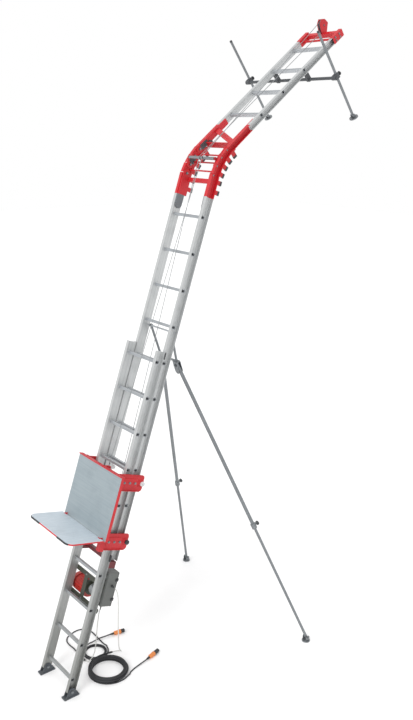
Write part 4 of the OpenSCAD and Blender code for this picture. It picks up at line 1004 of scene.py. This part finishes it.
@dataclass
class WireRope:
    """The hoist's wire rope: drum winding, haul run, load run and the run over the head.

    The solids' winding and sheave run have corners, and the half steps are half the angle between them.
    """

    rope_d: float = 6.0
    seat: float = 0.3
    ring_gap: float = 4.0
    lay_len: float = 40.0
    sharp: float = 80.0
    drum_x: float = 58.0
    drum_r: float = 44.0
    turns: int = 12
    rings: int = 48
    pitch: float = 6.7
    wind_half_step: float = 7.5
    haul_x: float = -20.0
    load_x: float = 20.0
    bar_r: float = 14.0
    bar_off: float = -48.25
    bar_arc: int = 8
    sheave_r: float = 41.0
    sheave_off: float = -78.0
    sheave_along: float = 1759.0
    sheave_arc: int = 40
    wheel_half_step: float = 6.6
    head_blend: float = 300.0
    lug: Pair = (-76.0, 2113.0)

    @staticmethod
    def _on_ladder(link: int, b: float, s: float) -> Array:
        """Back and along place, on the ladder, of a place on a knee link or the roof section."""
        return Slant(tilt=-LEAN).place(link_slant(link).place((0.0, b, s)))[1:]

    @staticmethod
    def _arc(centre: Array, radius: float, angles: Array, x: float) -> Array:
        """World places on a circle of the ladder's back and along plane, angles measured from the slope."""
        a = np.radians(angles)
        return LADDER.place(np.column_stack([
            np.full(len(a), x), centre[0] + radius * np.sin(a), centre[1] + radius * np.cos(a)]))

    @staticmethod
    def _touch(a: Array, b: Array, ra: float, rb: float) -> float:
        """Angle at which a straight run leaves circle a for circle b on its front side."""
        v = b - a
        return float(np.degrees(np.arctan2(v[0], v[1]) - np.arcsin((rb - ra) / np.hypot(*v))) - 90.0)

    def _run(self, name: str, stretches: Sequence[Array], body: str | None) -> bpy.types.Object:
        """Sweeps the stranded section along each stretch of a run, with evenly spaced places.

        Args:
            name: the piece's name.
            stretches: corners of each stretch in the world.
            body: body that it moves with, or None where it rides on no body.

        Returns:
            The object.
        """
        shells = []
        for corners in stretches:
            run = run_along(corners)
            marks = np.linspace(0.0, run[-1], int(run[-1] / self.ring_gap) + 2)
            path = np.column_stack([np.interp(marks, run, axis) for axis in corners.T])
            shells.append(sweep(path, strand_section(self.rope_d / 2), lay=self.lay_len))
        return make_piece(name, shells, "wire_rope", body, sharp=self.sharp)

    def _bent(self, name: str, stretches: Sequence[Array], bodies: tuple[str, str], start: Array,
              end: Array) -> None:
        """Makes a run that bends from one body to the next across their joint.

        Args:
            name: the piece's name.
            stretches: corners of each stretch.
            bodies: the body at the start and the one at the end.
            start: not used.
            end: not used.
        """
        run = self._run(name, stretches, None)
        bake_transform(run)
        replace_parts(run, "rope_haul" if bodies[0] == "base" else "rope_roof")

    def _winding(self) -> Array:
        """Makes the winding, a helix with a short straight piece at each end.

        Returns:
            Where the rope leaves it, on the ladder.
        """
        r = (self.drum_r + self.rope_d / 2 + self.seat) / np.cos(np.radians(self.wind_half_step))
        t = np.linspace(0.0, self.turns, self.turns * self.rings + 1)
        x = self.drum_x + self.pitch * (t - self.turns / 2)
        b, s = DRUM_AT[0] - r * np.cos(2 * np.pi * t), DRUM_AT[1] + r * np.sin(2 * np.pi * t)
        wind = with_ends(np.stack([x, b, s], axis=-1), self.rope_d)
        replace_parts(self._run("drum_rope", [LADDER.place(wind)], "drum"), "drum_winding")
        return wind[-1]

    def _load(self, hook: Array, top: Array) -> None:
        """Makes the run down to the carriage and the ferrule at its end.

        Args:
            hook: its end on the carriage.
            top: its end at the knee.
        """
        run = self._run("load_rope", [np.stack([hook, top])], "upper")
        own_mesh(run)
        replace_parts(run, "rope_load")
        ferrule = turned([(3.4, 8.0), (5.6, 10.0), (5.6, 17.0), (5.2, 17.6), (5.2, 20.4), (5.6, 21.0),
                          (5.6, 29.0), (3.4, 31.0)], cols=24)
        make_piece("rope_ferrule", [ferrule.stood(hook, top - hook)], "zinc_steel", "carriage")

    def build(self) -> None:
        """Makes the winding and the runs, cut at the knee's pins."""
        leave = self._winding()
        bar = self._on_ladder(2, self.bar_off, LINK_PITCH / 2)
        sheave = self._on_ladder(4, self.sheave_off, self.sheave_along)
        ride = self.bar_r + self.rope_d / 2 + self.seat
        wheel = (self.sheave_r + self.rope_d / 2 + self.seat) / np.cos(np.radians(self.wheel_half_step))
        up, down = (self._touch(bar, sheave, ride, way * wheel) for way in (-1.0, 1.0))
        haul = self._touch(leave[1:], bar, 0.0, ride)
        load = self._touch(np.array(self.lug), bar, 0.0, ride)
        haul_arc = self._arc(bar, ride, np.linspace(haul, up, self.bar_arc), self.haul_x)
        load_arc = self._arc(bar, ride, np.linspace(load, down, self.bar_arc), self.load_x)
        over = self._arc(sheave, wheel, np.linspace(up + 180.0, down, self.sheave_arc), 0.0)

        foot, hook = LADDER.place(leave), LADDER.place((self.load_x, *self.lug))
        low, high = ([pin.crossing(foot, haul_arc[0]), pin.crossing(hook, load_arc[0])]
                     for pin in (link_slant(1), link_slant(2)))
        last = [ROOF.crossing(haul_arc[-1], over[0]), ROOF.crossing(load_arc[-1], over[-1])]
        self._bent("haul_rope", [np.stack([foot, low[0]])], ("base", "upper"), foot, low[0])
        self._bent("knee_rope_1", [np.stack(pair) for pair in zip(low, high)], ("upper", "link_1"),
                   low[1], high[1])
        self._bent("knee_rope_2", [np.vstack(pair) for pair in zip(high, (haul_arc, load_arc))],
                   ("link_1", "link_2"), high[1], load_arc[0])
        self._bent("knee_rope_3", [np.stack(pair) for pair in zip((haul_arc[-1], load_arc[-1]), last)],
                   ("link_2", "link_3"), load_arc[-1], last[1])
        self._bent("head_rope", [np.vstack([last[0], over, last[1]])], ("link_3", "roof"), last[1],
                   ROOF.place((0.0, 0.0, self.head_blend)))
        self._load(hook, low[1])


@dataclass
class RungCollars:
    """Swaged collars where the rungs pass through the rail webs."""

    height: float = 26.0
    depth: float = 34.0
    corner: float = 7.0
    lip: float = 5.5
    lower_x: float = 208.0
    upper_x: float = 197.0
    ladder_rungs: int = 10
    upper_from: int = 4
    roof_rungs: int = 4
    roof_first: float = 494.0

    def build(self) -> None:
        """Makes rings of a rounded rectangle, bulged outwards, at each rung end on both rails."""
        ring = slab(self.height, self.depth, self.corner, [
            (0.4, 3.4), (-1.2, 3.6), (1.0 - self.lip, 2.6), (-self.lip, 0.4), (-1.0, 0.0), (0.4, 0.4),
        ], cols=32)
        ring.looped = True
        rungs = RUNG_PITCH * np.arange(self.ladder_rungs)
        for name, body, slant, x, b, places in (
                ("lower", "base", LADDER, self.lower_x, 0.0, FIRST_RUNG + rungs),
                ("upper", "upper", LADDER, self.upper_x, UPPER_BACK,
                 FIRST_RUNG + self.upper_from * RUNG_PITCH + rungs),
                ("roof", "roof", ROOF, self.upper_x, 0.0, self.roof_first + rungs[:self.roof_rungs])):
            shells = set_beside([ring], [(x, b, s) for s in places], slant)
            make_piece(f"collars_{name}", shells, "rung_aluminium", body, tilt=slant.tilt)


@dataclass
class KneeTrim:
    """Dark caps on the knee's teeth and dark plates inside it, both painted shade; nuts on its pins, rollers
    inside it, and the sleeves' brace.
    """

    inner_x: float = 180.0
    plate_mid: float = 187.2
    tooth_reach: float = 112.0
    tooth_w: float = 38.0
    pin_head: float = 5.0
    nut_r: float = 5.5
    shade_plate_link: Point = (15.0, 72.0, 60.0)
    shade_plate_sleeve: Point = (16.0, 112.0, 54.0)
    roller_at: Pair = (20.0, 128.0)
    brace_b: float = -8.0
    brace_along: Pair = (262.0, 95.0)
    brace_w: float = 54.0

    def build(self) -> None:
        """Makes the trim of the base, the three links and the sleeve."""
        half = LINK_PITCH / 2
        # Dark caps on the tooth tips are painted shade, standing for the shadow at the teeth's ends
        cap = slab(17.6, self.tooth_w + 3.0, 4.0, [(1.2, -19.0), (0.0, -18.0), (0.0, 0.4), (1.6, 2.0)])
        for link, body in enumerate(("upper", "link_1", "link_2", "link_3", "roof")):
            seats = [(hand * self.plate_mid, self.tooth_reach, s)
                     for s in ((half,) if link else (-half, -3 * half)) for hand in SIDES.values()]
            tips = set_at([cap], seats, BACK, link_slant(link))
            make_piece(f"tooth_shade_caps_{link}", tips, "guide_nylon", body)
        seats = [(self.inner_x - self.pin_head, 0.0, s) for s in (0.0, LINK_PITCH)]
        for link in (1, 3):
            nuts = side_bolts(seats, self.nut_r, link_slant(link), facing=-1.0)
            make_piece(f"pin_nuts_{link}", nuts, "steel", f"link_{link}")
        # Dark plates on the inner faces of link 2 and the sleeve are painted shade, standing for the shadow
        # inside the knee
        for name, body, slant, tilt, (low, high, width) in (
                ("link", "link_2", link_slant(2), LEAN, self.shade_plate_link),
                ("sleeve", "roof", ROOF, ROOF.tilt, self.shade_plate_sleeve)):
            plate = slab(high - low, width, 8.0, [(0.6, -0.5), (0.0, 0.0), (0.0, 1.0), (0.8, 1.6)])
            shells = set_beside([plate], [(self.inner_x, 0.0, (low + high) / 2)], slant, facing=-1.0)
            make_piece(f"shade_plates_{name}", shells, "support_dark", body, tilt=tilt)
        self._brace()
        wheel = turned([(9.0, -1.0), (15.0, 0.5), (17.0, 2.0), (17.0, 8.0), (13.5, 11.0), (13.5, 17.0),
                        (17.0, 20.0), (17.0, 26.0), (15.0, 27.5), (6.0, 28.5)])
        shells = set_beside([wheel], [(self.inner_x, *self.roller_at)], ROOF, facing=-1.0)
        make_piece("sleeve_rollers", shells, "guide_nylon", "roof")

    def _brace(self) -> None:
        """Makes the ribbed plate that runs aslant between the two sleeves."""
        left, right = (np.array([hand * (self.inner_x + 1.0), self.brace_b, along])
                       for hand, along in zip(SIDES.values(), self.brace_along))
        run = right - left
        length = float(np.linalg.norm(run))
        parts = [slab(self.brace_w, 9.0, 3.0, [(0.0, 0.0), (0.0, length)]),
                 slab(16.0, 16.0, 7.0, [(0.0, 4.0), (0.0, length - 4.0)])]
        make_piece("sleeve_brace", set_at(parts, [left], run, ROOF, np.cross(BACK, run)), "hoist_red", "roof",
                   tilt=ROOF.tilt)


@dataclass
class CarriageTrim:
    """Pads, bosses, rollers and bolts on the carriage brackets, ribs under the tray, rivets on the panel."""

    plate_x: float = 249.0
    guide_b: float = 151.9
    levels: Pair = (1491.0, 2039.0)
    pad_b: float = 18.0
    pad_bolts: Point = (-42.0, 18.0, 78.0)
    front_b: float = -118.0
    front_bolts: Pair = (-46.0, 46.0)
    bolt_r: float = 6.0
    pad_lift: float = 7.0
    boss_in: float = 8.0
    roller_r: float = 21.0
    nut_r: float = 5.0
    nut_lift: float = 27.5
    rib_x: Point = (-210.0, 0.0, 210.0)
    rib_at: Pair = (-175.0, 5.0)
    panel_b: float = -155.0
    panel_half: float = 345.0
    rivet_in: float = 14.0
    rivet_span: Pair = (1580.0, 2068.0)

    def build(self) -> None:
        """Makes the trim of both brackets on both sides, of the tray and of the panel."""
        pad = slab(86.0, 190.0, 40.0, [(0.0, -0.5), (0.0, 3.0), (2.5, 6.0), (5.0, 7.0)], cols=40)
        boss = turned([(33.0, -0.5), (33.0, 4.0), (30.0, 7.5), (24.0, 8.5)])
        pads = set_beside([pad], [(self.plate_x, self.pad_b, s) for s in self.levels], LADDER)
        seats = [(self.plate_x, self.guide_b - self.boss_in, s) for s in self.levels]
        pads += set_beside([boss], seats, LADDER)
        make_piece("bracket_pads", pads, "hoist_red", "carriage")
        seats = [(self.plate_x + self.pad_lift, b, s) for s in self.levels for b in self.pad_bolts]
        seats += [(self.plate_x, self.front_b, s + off) for s in self.levels for off in self.front_bolts]
        make_piece("bracket_bolts", side_bolts(seats, self.bolt_r, LADDER), "zinc_steel", "carriage")
        r = self.roller_r
        wheel = turned([(12.0, 9.0), (r - 2.0, 9.2), (r, 11.0), (r, 15.0), (r - 3.0, 16.5), (r - 3.0, 20.5),
                        (r, 22.0), (r, 26.0), (r - 2.0, 27.8), (9.0, 28.0)])
        for name, s, slot in zip(("lower", "upper"), self.levels, ("guide_nylon", "roller_nylon")):
            shells = set_beside([wheel], [(self.plate_x, self.guide_b, s)], LADDER)
            shells += side_bolts([(self.plate_x + self.nut_lift, self.guide_b, s)], self.nut_r, LADDER)
            make_piece(f"outer_rollers_{name}", shells, slot, f"rollers_{name}")
        rib = slab(30.0, 250.0, 12.0, [(0.0, -0.5), (1.0, 5.0), (5.0, 8.0), (8.0, 8.6)])
        shells = set_at([rib], [(x, *self.rib_at) for x in self.rib_x], DOWN, TRAY)
        make_piece("tray_ribs", shells, "tray_sheet", "platform", tilt=TRAY.tilt)
        dome = turned([(5.5, -0.2), (5.0, 1.2), (3.4, 2.2), (1.0, 2.6)], cols=14)
        seats = [(hand * (self.panel_half - self.rivet_in), self.panel_b, s)
                 for s in np.linspace(*self.rivet_span, 5) for hand in SIDES.values()]
        make_piece("panel_rivets", set_at([dome], seats, FRONT, LADDER), "panel_sheet", "carriage")


@dataclass
class WinchTrim:
    """Bolts of the winch frame, the drum shaft's nut, and the box's gasket and latches."""

    strap_x: Pair = (-36.5, 139.5)
    bar_s: Pair = (825.0, 1055.0)
    bar_front: float = 42.5
    bar_back: float = 54.5
    rail_x: float = 226.0
    strap_bolt_r: float = 5.0
    rail_bolt_r: float = 6.0
    plate_x: float = 132.5
    box_mid: Pair = (206.0, 1038.0)
    box_size: Pair = (110.0, 324.0)
    box_side: float = 261.0
    lid_b: float = 161.0
    latch_s: Pair = (946.0, 1130.0)
    latch_drop: float = 4.0
    latch_plans: tuple[tuple[Point, float], ...] = (((30.0, 34.0, 6.0), 0.0), ((20.0, 20.0, 5.0), 4.5))

    def build(self) -> None:
        """Makes the trim round the winch and the control box."""
        seats = [(x, self.bar_front, s) for x in self.strap_x for s in self.bar_s]
        heads = bolts(seats, FRONT, self.strap_bolt_r, LADDER)
        seats = [(hand * self.rail_x, self.bar_back, s) for hand in SIDES.values() for s in self.bar_s]
        heads += bolts(seats, BACK, self.rail_bolt_r, LADDER)
        make_piece("winch_bolts", heads, "zinc_steel", "base")
        nut = [turned([(15.0, 0.3), (16.0, 0.6), (16.0, 2.4), (15.0, 3.0)]),
               turned([(13.4, 2.8), (14.4, 3.6), (14.4, 11.0), (12.6, 12.6)], hex_outline, cols=24)]
        make_piece("shaft_nut", set_at(nut, [(self.plate_x, *DRUM_AT)], RIGHT, LADDER), "steel", "drum")
        seal = slab(*self.box_size, 8.0, [(2.0, -2.0), (-1.0, -1.6), (-1.0, 1.6), (2.0, 2.0)], cols=32)
        seal.looped = True
        x, s = self.box_mid
        shells = set_at([seal], [(x, self.lid_b, s)], BACK, LADDER)
        for plan, lift in self.latch_plans:
            plate = slab(*plan, [(0.0, -0.5), (0.0, 3.0), (1.4, 4.6)])
            seats = [(self.box_side + lift, self.lid_b - self.latch_drop, s) for s in self.latch_s]
            shells += set_at([plate], seats, RIGHT, LADDER, UP)
        make_piece("box_fittings", shells, "fitting_black", "base")


@dataclass
class PropTrim:
    """Collars, knobs and bolts of the prop."""

    knuckle: Point = (115.0, 312.0, 3137.0)
    tilt: float = 19.591153
    splay: float = 15.970298
    clamp_s: float = -1778.0
    knob_b: float = 38.5
    knob_size: Pair = (22.0, 22.0)
    cheek_y: float = 24.5
    nut_r: float = 8.0
    foot: Pair = (976.0, 2290.0)
    foot_bolt: Point = (28.0, 0.0, 46.0)
    bolt_r: float = 6.0

    def build(self) -> None:
        """Makes the trim of the yoke, both legs and both feet."""
        collar = turned([(17.2, -28.5), (23.5, -28.0), (26.0, -25.5), (26.0, -6.0), (25.2, -5.0), (25.2, 5.0),
                         (26.0, 6.0), (26.0, 24.0), (23.5, 27.0), (17.2, 29.5)])
        boss = turned([(22.0, 11.5), (21.0, 14.0), (16.0, 16.0), (8.0, 16.6)])
        nuts = []
        for name, hand in SIDES.items():
            x, b, s = self.knuckle
            at = tuple(LADDER.place((hand * x, b, s)))
            yoke, leg = Slant(at, -self.tilt), Slant(at, -self.tilt, -hand * self.splay)
            for end in SIDES.values():
                nuts += bolts([(0.0, end * self.cheek_y, 0.0)], (0.0, end, 0.0), self.nut_r, yoke)
            clamp = set_at([collar], [(0.0, 0.0, self.clamp_s)], UP, leg)
            make_piece(f"leg_collar_{name}", clamp, "zinc_steel", f"prop_leg_{name}")
            grip = set_at([knob(*self.knob_size)], [(0.0, self.knob_b, self.clamp_s)], BACK, leg)
            make_piece(f"leg_knob_{name}", grip, "fitting_black", f"prop_leg_{name}")
            x, y = self.foot
            foot = Slant((hand * x, y, 0.0))
            shells = side_bolts([self.foot_bolt], self.bolt_r, foot) + [boss.moved(foot.place)]
            make_piece(f"foot_bolts_{name}", shells, "zinc_steel", f"prop_foot_{name}")
        make_piece("yoke_nuts", nuts, "zinc_steel", "prop_yoke")


@dataclass
class RoofTrim:
    """Knobs and caps of the roof support, and the bolts and the tie of the head."""

    shift: float = -55.0
    leg_x: float = 570.0
    bar_back: float = 103.0
    leg_along: float = 1189.0
    knob_along: float = 1222.0
    knob_size: Pair = (20.0, 17.0)
    leg_top: float = -340.0
    cap_x: float = 230.0
    cap_b: Pair = (-16.0, 16.0)
    cap_bolts: Pair = (1630.0, 1690.0)
    bolt_r: float = 5.0
    tie_along: float = 1630.0

    def build(self) -> None:
        """Makes the trim on the roof section."""
        cap = turned([(12.4, 12.0), (13.2, 11.0), (13.2, 1.0), (11.0, -2.0), (5.0, -3.0)])
        places = [self.shift + hand * self.leg_x for hand in SIDES.values()]
        for name, x in zip(SIDES, places):
            shells = set_at([cap], [(x, self.leg_top, self.leg_along)], BACK, ROOF)
            make_piece(f"roof_leg_cap_{name}", shells, "guide_nylon", f"roof_leg_{name}", tilt=ROOF.tilt)
        seats = [(x, self.bar_back, self.knob_along) for x in places]
        knobs = set_at([knob(*self.knob_size)], seats, UP, ROOF)
        make_piece("roof_knobs", knobs, "fitting_black", "roof", tilt=ROOF.tilt)
        seats = [(self.cap_x, b, s) for b in self.cap_b for s in self.cap_bolts]
        heads = side_bolts(seats, self.bolt_r, ROOF)
        make_piece("head_bolts", heads, "zinc_steel", "roof", tilt=ROOF.tilt)
        tie = slab(20.0, 20.0, 9.0, [(1.0, -193.0), (0.0, -191.5), (0.0, 191.5), (1.0, 193.0)])
        shells = set_at([tie], [(0.0, 0.0, self.tie_along)], RIGHT, ROOF)
        make_piece("head_tie", shells, "hoist_red", "roof", tilt=ROOF.tilt)


@dataclass
class FootTrim:
    """Nuts on both ends of the shoe pins."""

    pin: Point = (221.5, 19.78, 59.81)
    half: float = 29.5
    nut_r: float = 7.0

    def build(self) -> None:
        """Makes the nuts of both shoes."""
        for name, hand in SIDES.items():
            x, y, z = self.pin
            nuts = side_bolts([(self.half, 0.0, 0.0)], self.nut_r, Slant((hand * x, y, z)))
            make_piece(f"shoe_nuts_{name}", nuts, "zinc_steel", f"ladder_foot_{name}", tilt=0.0)


@dataclass
class Dresser:
    """Gives every CAD node the finish of its slot, along its own slope."""

    roof_nodes: tuple[str, ...] = ("roof_rails", "roof_rungs", "roof_sleeve", "head_bracket")
    part_painted: str = "knee_base"
    painted_from: float = 4630.0

    def build(self) -> None:
        """Sets the materials node by node."""
        for row in frame["record"]["subparts"]:
            name, slot = row["node"], row["material_slot"]
            tilt = ROOF.tilt if name in self.roof_nodes else LEAN
            bare_mm = self.painted_from if name == self.part_painted else None
            materials = frame["nodes"][name].data.materials
            materials.clear()
            materials.append(finish_for(slot, tilt, bare_mm))
            LOG.info("%s dressed as %s", name, slot)


def main() -> None:
    """Builds the studio, the cords, the pieces and the finishes."""
    logging.basicConfig(level=logging.INFO, format="%(message)s")
    for part in (Studio(), CordSet(), WireRope(), RungCollars(), KneeTrim(), CarriageTrim(), WinchTrim(),
                 PropTrim(), RoofTrim(), FootTrim(), Dresser()):
        part.build()
    bpy.context.view_layer.update()


if __name__ == "__main__":
    main()
